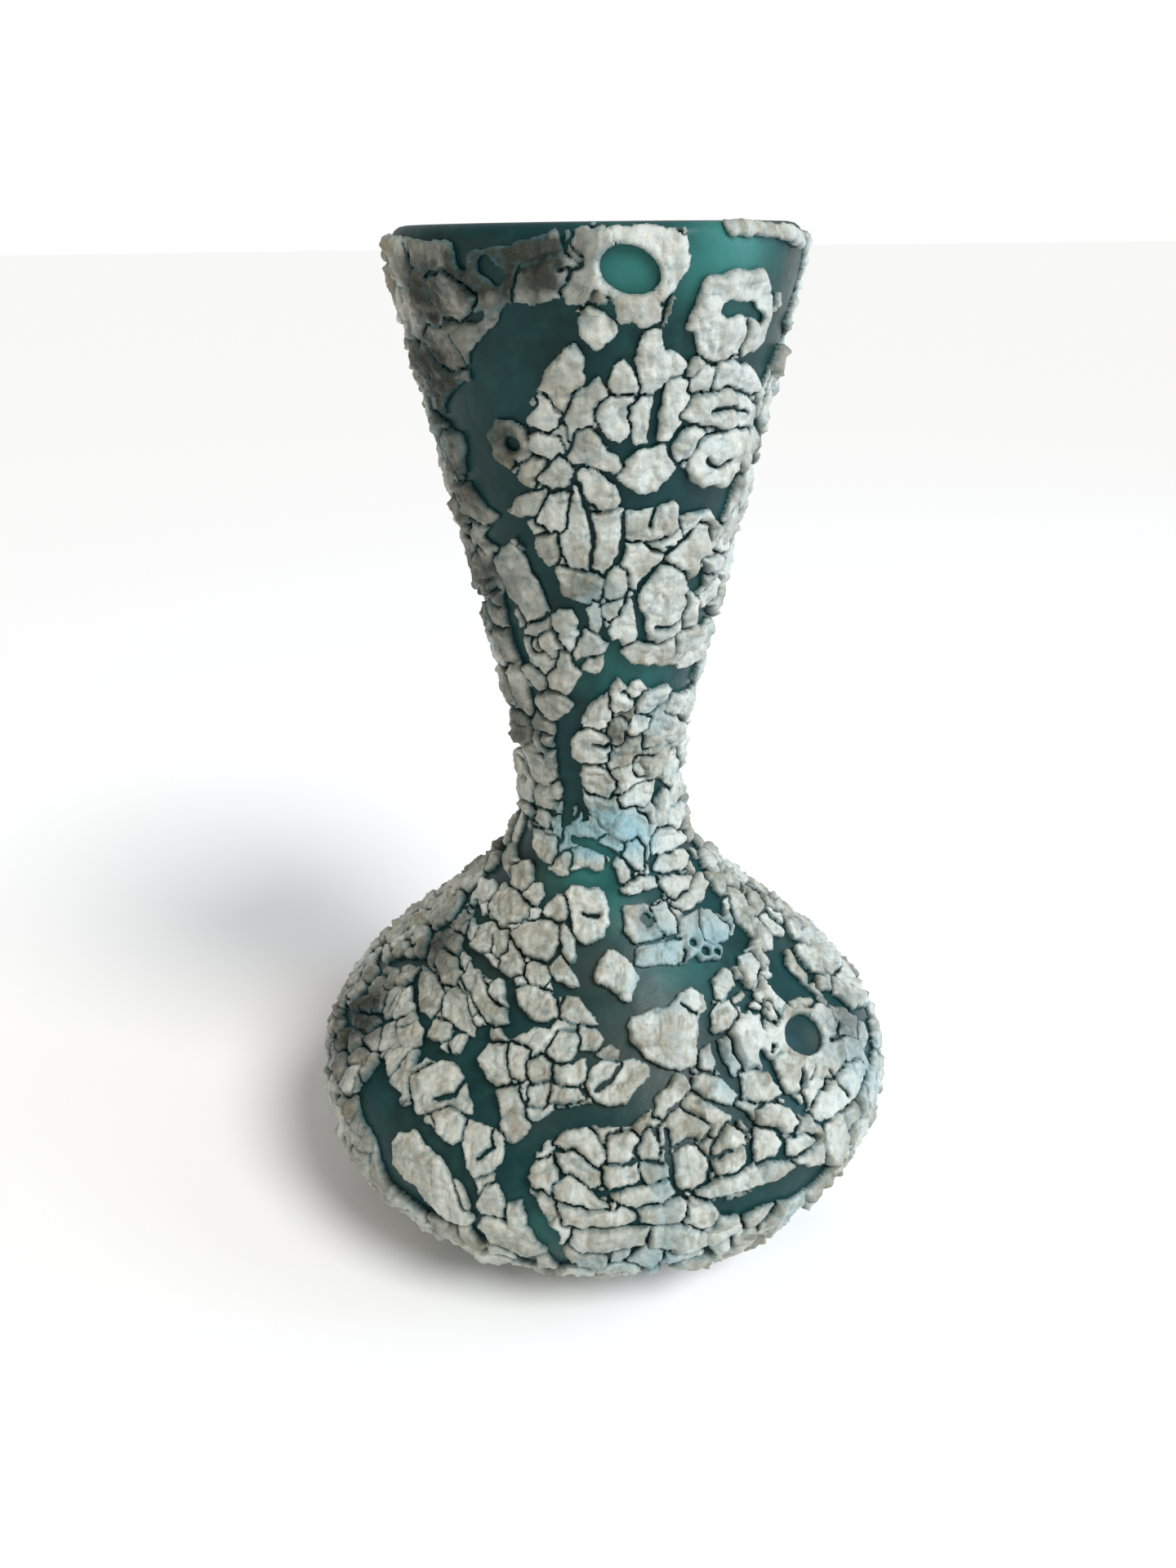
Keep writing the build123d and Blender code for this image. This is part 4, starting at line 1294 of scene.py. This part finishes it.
    @staticmethod
    def froth(spots: np.ndarray) -> np.ndarray:
        """How thin and blue-green the crust is: bell-shaped spots of foam, and some by noise.

        Args:
            spots: points of the wall in mm.

        Returns:
            One value from 0 to 1 for each point.
        """
        angle = np.degrees(np.arctan2(spots[..., 0], -spots[..., 1]))
        level = spots[..., 2]
        bluish = np.zeros(level.shape)
        for foam in FOAMS:
            across, along = (angle - foam.angle) / foam.wide, (level - foam.level) / foam.tall
            bluish += foam.strength * np.exp(-(across**2) - along**2)
        chance = ease(0.35, 0.85, speckle(spots, 13.0, 9))
        return np.clip(bluish + 0.55 * chance, 0.0, 1.0)


# ---------------------------------------------------------------- meshes
def new_object(name: str, points: np.ndarray, faces: np.ndarray) -> bpy.types.Object:
    """Make a smooth-shaded mesh object at the origin from points in mm and four-cornered faces.

    Args:
        name: the object's name.
        points: points in mm, one per row.
        faces: four point numbers per row.

    Returns:
        The object, linked to the scene.
    """
    mesh = bpy.data.meshes.new(name)
    mesh.vertices.add(len(points))
    mesh.vertices.foreach_set("co", (points * MM).astype(np.float32).ravel())
    mesh.loops.add(faces.size)
    mesh.loops.foreach_set("vertex_index", faces.astype(np.int32).ravel())
    mesh.polygons.add(len(faces))
    mesh.polygons.foreach_set("loop_start", np.arange(0, faces.size, 4, dtype=np.int32))
    mesh.polygons.foreach_set("use_smooth", np.ones(len(faces), dtype=bool))
    mesh.update(calc_edges=True)
    mesh.validate()
    piece = bpy.data.objects.new(name, mesh)
    bpy.context.scene.collection.objects.link(piece)
    return piece


def add_attribute(piece: bpy.types.Object, name: str, values: np.ndarray) -> None:
    """Store one number per point of a mesh as a named attribute."""
    layer = piece.data.attributes.new(name, "FLOAT", "POINT")
    layer.data.foreach_set("value", values.astype(np.float32).ravel())


def add_uv(piece: bpy.types.Object, corners: np.ndarray) -> None:
    """Store a UV map, one pair per face corner, in the order of the faces."""
    layer = piece.data.uv_layers.new(name="OFBake")
    layer.data.foreach_set("uv", corners.astype(np.float32).ravel())


@dataclass
class CrustMesher:
    """Turns the pattern into closed meshes of separate plates, one object per piece."""

    pattern: CrustPattern
    step: float = 0.32
    sink: float = 0.14
    inset: float = 0.28
    margin: float = 14.0

    def grid(self, zone: Zone) -> tuple:
        """Angles and distances of a zone's grid, with a margin for plates that reach out of it.

        Args:
            zone: the zone.

        Returns:
            Two arrays of one row per distance along the wall and one column per angle.
        """
        wall = self.pattern.wall
        low = max(float(wall.distance_at(np.array(zone.low))) - self.margin, 3.0)
        high = float(wall.distance_at(np.array(zone.high))) + self.margin
        high = min(high, wall.length)
        runs = np.arange(low, high, self.step)
        core = wall.at(wall.distance_at(np.linspace(zone.low + 2.6, min(zone.high, 199.0), 40)))
        columns = int(2.0 * math.pi * (0.25 * core[0].mean() + 0.75 * core[0].max()) / self.step)
        turns = np.arange(columns) * (2.0 * math.pi / columns) - math.pi
        return np.meshgrid(turns, runs)

    @staticmethod
    def around(kept: np.ndarray) -> tuple:
        """Which squares are kept to the left of each one, below it, and below on the left.

        Args:
            kept: which squares of the grid are crust.

        Returns:
            Three arrays of the same shape.
        """
        below = np.zeros_like(kept)
        below[1:] = kept[:-1]
        return np.roll(kept, 1, 1), below, np.roll(below, 1, 1)

    def tidy(self, kept: np.ndarray) -> np.ndarray:
        """Drop squares that are less than two wide, then those that only touch at a corner.

        Args:
            kept: which squares of the grid are crust.

        Returns:
            The same, tidied.
        """
        for _ in range(3):
            whole = kept & np.roll(kept, -1, 1)
            whole[:-1] &= whole[1:]
            whole[-1] = False
            grown = whole | np.roll(whole, 1, 1)
            grown[1:] |= grown[:-1].copy()
            kept = kept & grown
            left, below, corner = self.around(kept)
            kept = kept & ~(corner & ~left & ~below)
            left, below, corner = self.around(kept)
            kept = kept & ~np.roll(left & below & ~kept & ~corner, -1, 1)
        left, below, corner = self.around(kept)
        crossed = (corner & kept & ~left & ~below) | (left & below & ~kept & ~corner)
        return kept & ~crossed & ~np.roll(crossed, -1, 1)

    def build(self, zone: Zone, first: int) -> list:
        """Build a zone's pieces.

        Args:
            zone: the zone.
            first: number of its first piece in the pattern.

        Returns:
            The objects.
        """
        angle, distance = self.grid(zone)
        found = self.pattern.sample(angle, distance)
        gap = found.gap
        square_gap = 0.25 * (gap + np.roll(gap, -1, 1))
        square_gap[:-1] += square_gap[1:].copy()
        pieces = []
        for number in range(len(zone.edges)):
            kept = (square_gap > 0.0) & (found.piece == first + number)
            kept[-1] = False
            kept = self.tidy(kept)
            if kept.any():
                name = f"{zone.node}_{number + 1}"
                pieces.append(self.mesh(name, kept, angle, distance, found))
        return pieces

    def mesh(self, name: str, kept: np.ndarray, angle: np.ndarray, distance: np.ndarray,
             found: Samples) -> bpy.types.Object:
        """Close the kept squares into plates: a top, a wall that leans in, and a flat underside.

        Points on an edge slide down the slope of the gap until they lie where it is nothing. The
        underside is the top's own grid just below the face of the coat, drawn in at the edge.

        Args:
            name: the object's name.
            kept: which squares are crust.
            angle: the grid's angles.
            distance: the grid's distances along the wall.
            found: the samples on the grid.

        Returns:
            The object.
        """
        rows, columns = kept.shape
        number = np.arange(rows * columns).reshape(rows, columns)
        right = np.roll(number, -1, 1)
        line, column = np.nonzero(kept)
        squares = np.stack(
            [number[line, column], right[line, column], right[line + 1, column],
             number[line + 1, column]], axis=1
        )
        used, squares = np.unique(squares, return_inverse=True)
        squares = squares.reshape(-1, 4)
        left, below, corner = self.around(kept)
        rim = ~(kept & left & below & corner).ravel()[used]
        turn, run = angle.ravel()[used], distance.ravel()[used]
        gap = found.gap
        radius = self.pattern.wall.at(distance[:, 0])[0][:, None]
        pitch = 2.0 * math.pi / columns
        slope_x = ((np.roll(gap, -1, 1) - np.roll(gap, 1, 1)) / (2.0 * pitch * radius)).ravel()[used]
        slope_y = np.gradient(gap, self.step, axis=0).ravel()[used]
        steep = np.hypot(slope_x, slope_y) + 1e-6
        near = radius.repeat(columns, axis=1).ravel()[used]
        pull = np.where(rim, -gap.ravel()[used] / np.maximum(steep, 0.5), 0.0)
        pull = np.clip(pull, -0.75 * self.step, 0.75 * self.step)
        turn = turn + pull * slope_x / steep / near
        run = run + pull * slope_y / steep
        lift = found.lift.ravel()[used]
        top = self.pattern.wall.place(turn, run, lift)
        draw = np.where(rim, self.inset, 0.0)
        low_turn = turn + draw * slope_x / steep / near
        low_run = run + draw * slope_y / steep
        bottom = self.pattern.wall.place(low_turn, low_run, np.full(len(run), -self.sink))
        count = len(used)
        sides = self.edges(kept, number, right, used)
        walls = np.stack([sides[:, 1], sides[:, 0], sides[:, 0] + count, sides[:, 1] + count], axis=1)
        faces = np.concatenate([squares, squares[:, ::-1] + count, walls])
        piece = new_object(name, np.concatenate([top, bottom]), faces)
        self.add_map(piece, turn, run, squares, walls)
        buried = np.ones(count)
        for name, values in (("tone", found.tone), ("froth", found.froth), ("stain_and_shade", found.stain_and_shade)):
            add_attribute(piece, name, np.tile(values.ravel()[used], 2))
        add_attribute(piece, "edge_green_and_shade", np.concatenate([found.edge_green_and_shade.ravel()[used], buried]))
        return piece

    @staticmethod
    def edges(kept: np.ndarray, number: np.ndarray, right: np.ndarray,
              used: np.ndarray) -> np.ndarray:
        """Edges of the kept squares that no other kept square shares, in each square's direction.

        Args:
            kept: which squares are crust.
            number: number of each grid point, its square's lower left corner.
            right: number of the point to its right.
            used: numbers of the points in use, in order.

        Returns:
            Rows of two places in used.
        """
        below = np.zeros_like(kept)
        below[1:] = kept[:-1]
        above = np.zeros_like(kept)
        above[:-1] = kept[1:]
        up = np.zeros_like(number)
        up[:-1] = number[1:]
        up_right = np.roll(up, -1, 1)
        found = []
        for neighbour, start, end in (
            (below, number, right),
            (np.roll(kept, -1, 1), right, up_right),
            (above, up_right, up),
            (np.roll(kept, 1, 1), up, number),
        ):
            open_side = kept & ~neighbour
            found.append(np.stack([start[open_side], end[open_side]], axis=1))
        return np.searchsorted(used, np.concatenate(found))

    @staticmethod
    def add_map(piece: bpy.types.Object, turn: np.ndarray, run: np.ndarray, squares: np.ndarray,
                walls: np.ndarray) -> None:
        """Unroll the wall as the UV map; the undersides, which never show, share a thin strip.

        Args:
            piece: the object.
            turn: angle of each top point.
            run: distance along the wall of each top point.
            squares: faces of the top.
            walls: faces between the top and the underside.
        """
        middle = np.angle(np.exp(1j * turn).mean())
        across = np.angle(np.exp(1j * (turn - middle)))
        across = (across - across.min()) / (across.max() - across.min())
        along = (run - run.min()) / (run.max() - run.min())
        spread = np.stack([0.01 + 0.98 * across, 0.04 + 0.95 * along], axis=1)
        strip = np.stack([0.01 + 0.98 * across, 0.005 + 0.01 * along], axis=1)
        both = np.concatenate([spread, spread])
        corners = np.concatenate(
            [spread[squares].reshape(-1, 2), strip[squares[:, ::-1]].reshape(-1, 2),
             both[walls].reshape(-1, 2)]
        )
        add_uv(piece, corners)


PALE_SPOTS = (
    Tint(36, 196.5, 9.0, 1.0), Tint(26, 194, 6.0, 0.7), Tint(7.5, 193, 6.0, 0.75),
    Tint(-12, 82.5, 6.0, 0.9), Tint(7, 75, 5.0, 0.6), Tint(20, 126, 9.0, 0.45),
    Tint(-15, 127, 6.0, 0.4), Tint(-30, 81, 5.0, 0.4), Tint(-11, 28, 9.0, 0.35),
    Tint(30, 65, 9.0, 0.35), Tint(150, 120, 18.0, 0.6), Tint(215, 55, 22.0, 0.5),
    Tint(120, 40, 16.0, 0.4), Tint(250, 185, 14.0, 0.7), Tint(180, 90, 10.0, 0.6),
)
GREY_SPOTS = (
    Tint(2, 56, 12.0, 0.9), Tint(-5, 67, 8.0, 0.9), Tint(12, 51, 8.0, 0.8),
    Tint(-50, 76, 12.0, 0.6), Tint(-45, 62, 12.0, 0.5), Tint(-15, 47, 7.0, 0.5),
    Tint(58, 46.5, 3.0, 1.0), Tint(140, 60, 20.0, 0.6), Tint(200, 170, 18.0, 0.5),
)


@dataclass
class GreenCoat:
    """The green glaze skin over the outside: gently uneven, closed against the clay."""

    outline: Outline
    step: float = 1.0
    columns: int = 320
    back_rows: int = 60
    swell: float = 0.16
    ripple: float = 0.05

    def build(self) -> bpy.types.Object:
        """Build the coat: its outer face from the foot over the lip, then its inner face back.

        Returns:
            The object.
        """
        outer = Wall(self.outline.rows(self.outline.glaze, math.pi / 2))
        inner = Wall(self.outline.rows(0.0, math.pi / 2))
        turns = np.arange(self.columns) * (2.0 * math.pi / self.columns)
        angle, run = np.meshgrid(turns, np.linspace(0.0, outer.length, int(outer.length / self.step)))
        flat = outer.place(angle, run, np.zeros(angle.shape))
        fade = ease(0.0, 6.0, run) * ease(0.0, 5.0, outer.length - run)
        waves = self.swell * speckle(flat, 9.0, 21) + self.ripple * speckle(flat, 2.6, 22)
        face = outer.place(angle, run, fade * waves)
        back_angle, back_run = np.meshgrid(turns, np.linspace(inner.length, 0.0, self.back_rows))
        back = inner.place(back_angle, back_run, np.zeros(back_angle.shape))
        points = np.concatenate([face, back])
        rows = len(points)
        number = np.arange(rows * self.columns).reshape(rows, self.columns)
        right, up = np.roll(number, -1, 1), np.roll(number, -1, 0)
        faces = np.stack([number, right, np.roll(up, -1, 1), up], axis=-1).reshape(-1, 4)
        spots = points.reshape(-1, 3)
        piece = new_object("green_glaze", spots, faces)
        across = np.concatenate([turns, [2.0 * math.pi]]) / (2.0 * math.pi)
        along = np.concatenate(
            [np.linspace(0.04, 0.99, len(face)), np.linspace(0.99, 0.04, len(back)) * 0.03, [0.0]]
        )
        grid = np.stack(np.meshgrid(0.005 + 0.99 * across, along), axis=-1)
        corners = np.stack([grid[:-1, :-1], grid[:-1, 1:], grid[1:, 1:], grid[1:, :-1]], axis=2)
        corners[len(face) - 1, :, 2:, 1] = 0.03
        corners[len(face) - 1, :, :2, 1] = 0.03
        add_uv(piece, corners.reshape(-1, 2))
        add_attribute(piece, "pale", soft_spots(spots, outer, PALE_SPOTS))
        add_attribute(piece, "grey", soft_spots(spots, outer, GREY_SPOTS))
        return piece


# ---------------------------------------------------------------- finishes
def colour(code: str) -> tuple:
    """Linear colour with full alpha from a six-digit hex code.

    Args:
        code: red, green and blue, two digits each.

    Returns:
        Red, green, blue and alpha, 0 to 1.
    """
    parts = [int(code[start:start + 2], 16) / 255.0 for start in (0, 2, 4)]
    linear = [part / 12.92 if part <= 0.04045 else ((part + 0.055) / 1.055) ** 2.4 for part in parts]
    return (*linear, 1.0)


Value = float | tuple | bpy.types.NodeSocket


class Board:
    """A material's node board, with short calls for the nodes that the finishes share."""

    def __init__(self, name: str) -> None:
        """Start a material with a Principled shader and an Object coordinate.

        Args:
            name: the material's name.
        """
        self.material = bpy.data.materials.new(name)
        self.material.use_nodes = True
        self.nodes = self.material.node_tree.nodes
        self.links = self.material.node_tree.links
        self.shader = self.nodes["Principled BSDF"]
        self.place = self.nodes.new("ShaderNodeTexCoord").outputs["Object"]

    def attribute(self, name: str) -> bpy.types.NodeSocket:
        """Read a number stored on the mesh.

        Args:
            name: the attribute's name.

        Returns:
            The socket.
        """
        node = self.nodes.new("ShaderNodeAttribute")
        node.attribute_name = name
        return node.outputs["Fac"]

    def noise(self, size: float, detail: float = 3.0, rough: float = 0.55) -> bpy.types.NodeSocket:
        """Noise in space, 0 to 1.

        Args:
            size: size of its features in mm.
            detail: how many finer layers it has.
            rough: strength of the finer layers.

        Returns:
            The socket.
        """
        node = self.nodes.new("ShaderNodeTexNoise")
        node.inputs["Scale"].default_value = 1.0 / (size * MM)
        node.inputs["Detail"].default_value = detail
        node.inputs["Roughness"].default_value = rough
        self.links.new(self.place, node.inputs["Vector"])
        return node.outputs["Fac"]

    def sum(self, terms: tuple, offset: float = 0.0) -> bpy.types.NodeSocket:
        """Add up sockets, each times its factor.

        Args:
            terms: pairs of a socket and its factor.
            offset: what is added to them.

        Returns:
            The socket of the sum, kept within 0 to 1.
        """
        total = None
        for socket, factor in terms:
            node = self.nodes.new("ShaderNodeMath")
            node.operation = "MULTIPLY_ADD"
            self.links.new(socket, node.inputs[0])
            node.inputs[1].default_value = factor
            if total is None:
                node.inputs[2].default_value = offset
            else:
                self.links.new(total, node.inputs[2])
            total = node.outputs[0]
        node.use_clamp = True
        return total

    def mix(self, share: bpy.types.NodeSocket, low: Value, high: Value) -> bpy.types.NodeSocket:
        """Mix two colours.

        Args:
            share: how much of the second colour.
            low: first colour, or its socket.
            high: second colour, or its socket.

        Returns:
            The socket of the mix.
        """
        node = self.nodes.new("ShaderNodeMix")
        node.data_type = "RGBA"
        self.links.new(share, node.inputs["Factor"])
        for socket, value in ((node.inputs[6], low), (node.inputs[7], high)):
            if isinstance(value, tuple):
                socket.default_value = value
            else:
                self.links.new(value, socket)
        return node.outputs[2]

    def bump(self, height: bpy.types.NodeSocket, depth: float) -> None:
        """Bump the surface.

        Args:
            height: socket of the height, 0 to 1.
            depth: mm from 0 to 1.
        """
        node = self.nodes.new("ShaderNodeBump")
        node.inputs["Distance"].default_value = depth * MM
        node.inputs["Strength"].default_value = 1.0
        self.links.new(height, node.inputs["Height"])
        self.links.new(node.outputs["Normal"], self.shader.inputs["Normal"])

    def paint(self, name: str, value: Value) -> None:
        """Set or link one of the shader's inputs.

        Args:
            name: the input's name.
            value: a number, a colour or a socket.
        """
        socket = self.shader.inputs[name]
        if isinstance(value, bpy.types.NodeSocket):
            self.links.new(value, socket)
        else:
            socket.default_value = value


@dataclass(frozen=True)
class CrustFinish:
    """Thick cream glaze: mottled cream and beige, blue-green where thin, olive where stained, with
    painted shade: olive low on the belly's left, and teal along plate edges and in creases, where the
    green also shows through the thin crust.
    """

    cream: str = "CBCDC2"
    beige: str = "7A7158"
    thin: str = "7FA5AB"
    # Teal laid along plate edges and in creases: partly the green showing through thin crust, partly
    # painted shade.
    edge_green_and_shade: str = "3E686C"
    # Olive of stains, and of painted shade low on the belly's left.
    dirt_and_shade: str = "2C3127"
    roughness: float = 0.38

    def make(self) -> bpy.types.Material:
        """Make the material.

        Returns:
            The material.
        """
        board = Board("cream_crust")
        tone, froth, low = (board.attribute(name) for name in ("tone", "froth", "edge_green_and_shade"))
        share = board.sum(((tone, 0.36), (board.noise(8.0), 1.0), (board.noise(1.6), 0.9)), -0.62)
        body = board.mix(share, colour(self.cream), colour(self.beige))
        thin = board.sum(((froth, 0.75), (board.noise(3.0), 0.9)), -0.35)
        body = board.mix(thin, body, colour(self.thin))
        # Stains and painted shade: olive from the stain spots, which also darken the belly's left as
        # painted shade.
        dirt_and_shade = board.sum(((board.attribute("stain_and_shade"), 1.5), (board.noise(3.0), 1.1)), -0.68)
        body = board.mix(dirt_and_shade, body, colour(self.dirt_and_shade))
        # Painted shade: teal along plate edges and in creases, partly the green showing through the thin
        # crust.
        deep = board.sum(((low, 0.95), (board.noise(0.9), 0.7)), -0.52)
        board.paint("Base Color", board.mix(deep, body, colour(self.edge_green_and_shade)))
        board.paint("Roughness", board.sum(((board.noise(1.4), 0.40),), self.roughness - 0.14))
        board.paint("Specular IOR Level", 0.35)
        board.bump(board.noise(0.6, 5.0, 0.65), 0.30)
        return board.material


@dataclass(frozen=True)
class GreenFinish:
    """Satin teal glaze, paler green where it lies thin and grey-brown in places."""

    name: str = "green_glaze"
    deep: str = "112B29"
    green: str = "194345"
    pale: str = "32726A"
    grey: str = "3C4842"
    roughness: float = 0.34

    def make(self) -> bpy.types.Material:
        """Make the material.

        Returns:
            The material.
        """
        board = Board(self.name)
        share = board.sum(((board.noise(11.0), 1.4), (board.noise(2.0), 0.5)), -0.55)
        body = board.mix(share, colour(self.deep), colour(self.green))
        pale = board.sum(((board.attribute("pale"), 1.1), (board.noise(3.5), 0.5)), -0.25)
        body = board.mix(pale, body, colour(self.pale))
        grey = board.sum(((board.attribute("grey"), 0.8), (board.noise(5.0), 0.5)), -0.30)
        board.paint("Base Color", board.mix(grey, body, colour(self.grey)))
        board.paint("Roughness", board.sum(((board.noise(2.5), 0.24),), self.roughness - 0.12))
        board.paint("Specular IOR Level", 0.14)
        board.bump(board.noise(1.2, 4.0, 0.6), 0.06)
        return board.material


@dataclass(frozen=True)
class ClayFinish:
    """Bare fired clay: matte buff with darker grit."""

    buff: str = "A88D70"
    toasted: str = "8A6A4E"
    grit: str = "4A3A2E"

    def make(self) -> bpy.types.Material:
        """Make the material.

        Returns:
            The material.
        """
        board = Board("bare_clay")
        body = board.mix(board.sum(((board.noise(7.0), 1.0),)), colour(self.buff), colour(self.toasted))
        grit = board.sum(((board.noise(0.7, 1.0), 6.0),), -3.9)
        board.paint("Base Color", board.mix(grit, body, colour(self.grit)))
        board.paint("Roughness", 0.88)
        board.bump(board.noise(0.5, 3.0, 0.6), 0.12)
        return board.material


@dataclass(frozen=True)
class FloorFinish:
    """Plain pale studio floor."""

    pale: str = "FAFAF9"

    def make(self) -> bpy.types.Material:
        """Make the material.

        Returns:
            The material.
        """
        board = Board("studio_floor")
        board.paint("Base Color", colour(self.pale))
        board.paint("Roughness", 0.8)
        board.paint("Specular IOR Level", 0.0)
        return board.material


# ---------------------------------------------------------------- assemblies
@dataclass
class Vase:
    """The whole vase: the clay from the CAD, its green coat, its lining and its crust."""

    outline: Outline = field(default_factory=Outline)
    over_lip: float = 2.0
    crust_rise: float = 1.6

    @staticmethod
    def dress(piece: bpy.types.Object, finish: bpy.types.Material, slot: str, node: str) -> None:
        """Give a new piece its finish and its body, and hide the CAD node it stands for.

        Args:
            piece: the object.
            finish: its material.
            slot: not used.
            node: the CAD node.
        """
        piece.data.materials.append(finish)
        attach(piece, "root")
        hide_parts(node)
        log.info("%s: %d faces", piece.name, len(piece.data.polygons))

    @staticmethod
    def repaint(node: str, finish: bpy.types.Material) -> None:
        """Give a CAD node a better material.

        Args:
            node: the node's name.
            finish: the material.
        """
        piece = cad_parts[node]
        piece.data.materials.clear()
        piece.data.materials.append(finish)
        log.info("%s: kept from the CAD", node)

    def build(self) -> None:
        """Build every piece and dress it."""
        self.repaint("clay_body", ClayFinish().make())
        self.repaint("inner_lining", GreenFinish("lining_glaze", roughness=0.36).make())
        green = GreenCoat(self.outline).build()
        self.dress(green, GreenFinish().make(), "green_glaze", "green_coat")
        cream = CrustFinish().make()
        wall = Wall(self.outline.rows(self.outline.glaze, self.over_lip), self.crust_rise)
        mesher = CrustMesher(CrustPattern(wall))
        first = 0
        for zone in ZONES:
            for piece in mesher.build(zone, first):
                self.dress(piece, cream, "crust", zone.node)
            first += len(zone.edges)


@dataclass(frozen=True)
class Softbox:
    """An area light: place and aim in metres, size in metres, power in watts, colour."""

    place: tuple
    aim: tuple
    size: float
    power: float
    tint: str

    def build(self, name: str) -> None:
        """Add the light to the scene.

        Args:
            name: the light's name.
        """
        data = bpy.data.lights.new(name, "AREA")
        data.shape, data.size, data.energy = "DISK", self.size, self.power
        data.color = colour(self.tint)[:3]
        light = bpy.data.objects.new(name, data)
        light.location = self.place
        light.rotation_euler = (Vector(self.aim) - Vector(self.place)).to_track_quat("-Z", "Y").to_euler()
        bpy.context.scene.collection.objects.link(light)


@dataclass(frozen=True)
class Studio:
    """Floor, light and camera round the object."""

    floor_reach: float = 40.0
    sides: int = 96
    backdrop: float = 1.0
    sky: float = 0.40
    sun_power: float = 2.5
    sun_spread: float = 24.0
    sun_from: tuple = (0.62, -0.62, 0.95)
    eye: tuple = (-0.0026, -0.2261, 0.1974)
    dip: float = 24.8
    roll: float = -0.7
    lens: float = 27.0
    boxes: tuple = (
        Softbox((0.60, -0.10, 0.30), (0.0, 0.0, 0.10), 0.45, 2.2, "CFE2FF"),
        Softbox((-0.60, -0.25, 0.20), (0.0, 0.0, 0.09), 0.60, 0.45, "FFDDB0"),
    )

    def build(self) -> None:
        """Build the floor, the sky, the lights and the camera."""
        turn = np.arange(self.sides) * (2.0 * math.pi / self.sides)
        ring = np.stack([np.cos(turn), np.sin(turn), np.zeros(self.sides)], axis=1)
        mesh = bpy.data.meshes.new("floor")
        mesh.from_pydata((ring * self.floor_reach).tolist(), [], [list(range(self.sides))])
        floor = bpy.data.objects.new("floor", mesh)
        mesh.materials.append(FloorFinish().make())
        bpy.context.scene.collection.objects.link(floor)
        self.light_sky()
        sun = bpy.data.lights.new("sun", "SUN")
        sun.energy, sun.angle = self.sun_power, math.radians(self.sun_spread)
        lamp = bpy.data.objects.new("sun", sun)
        lamp.rotation_euler = Vector(self.sun_from).to_track_quat("Z", "Y").to_euler()
        bpy.context.scene.collection.objects.link(lamp)
        for number, box in enumerate(self.boxes):
            box.build(f"softbox_{number + 1}")
        self.place_camera()

    def light_sky(self) -> None:
        """A plain sky: soft light for the object, and white where the camera sees it."""
        world = bpy.data.worlds.new("studio_sky")
        world.use_nodes = True
        nodes, links = world.node_tree.nodes, world.node_tree.links
        rays = nodes.new("ShaderNodeLightPath")
        power = nodes.new("ShaderNodeMapRange")
        power.inputs["To Min"].default_value = self.sky
        power.inputs["To Max"].default_value = self.backdrop
        links.new(rays.outputs["Is Camera Ray"], power.inputs["Value"])
        nodes["Background"].inputs["Color"].default_value = (1.0, 1.0, 1.0, 1.0)
        links.new(power.outputs[0], nodes["Background"].inputs["Strength"])
        bpy.context.scene.world = world

    def place_camera(self) -> None:
        """Set the camera: close in front of the vase, looking down at it."""
        data = bpy.data.cameras.new("camera")
        data.lens, data.sensor_width, data.clip_start = self.lens, 36.0, 0.01
        camera = bpy.data.objects.new("camera", data)
        camera.location = self.eye
        turn = Euler((math.radians(90.0 - self.dip), 0.0, 0.0)).to_matrix()
        spin = Euler((0.0, 0.0, math.radians(self.roll))).to_matrix()
        camera.rotation_euler = (turn @ spin).to_euler()
        bpy.context.scene.collection.objects.link(camera)
        bpy.context.scene.camera = camera


def main() -> None:
    """Build the vase and its studio, and note the sizes."""
    logging.basicConfig(level=logging.INFO, format="%(name)s: %(message)s")
    bpy.context.scene.view_settings.view_transform = "Standard"
    Vase().build()
    Studio().build()


if __name__ == "__main__":
    main()
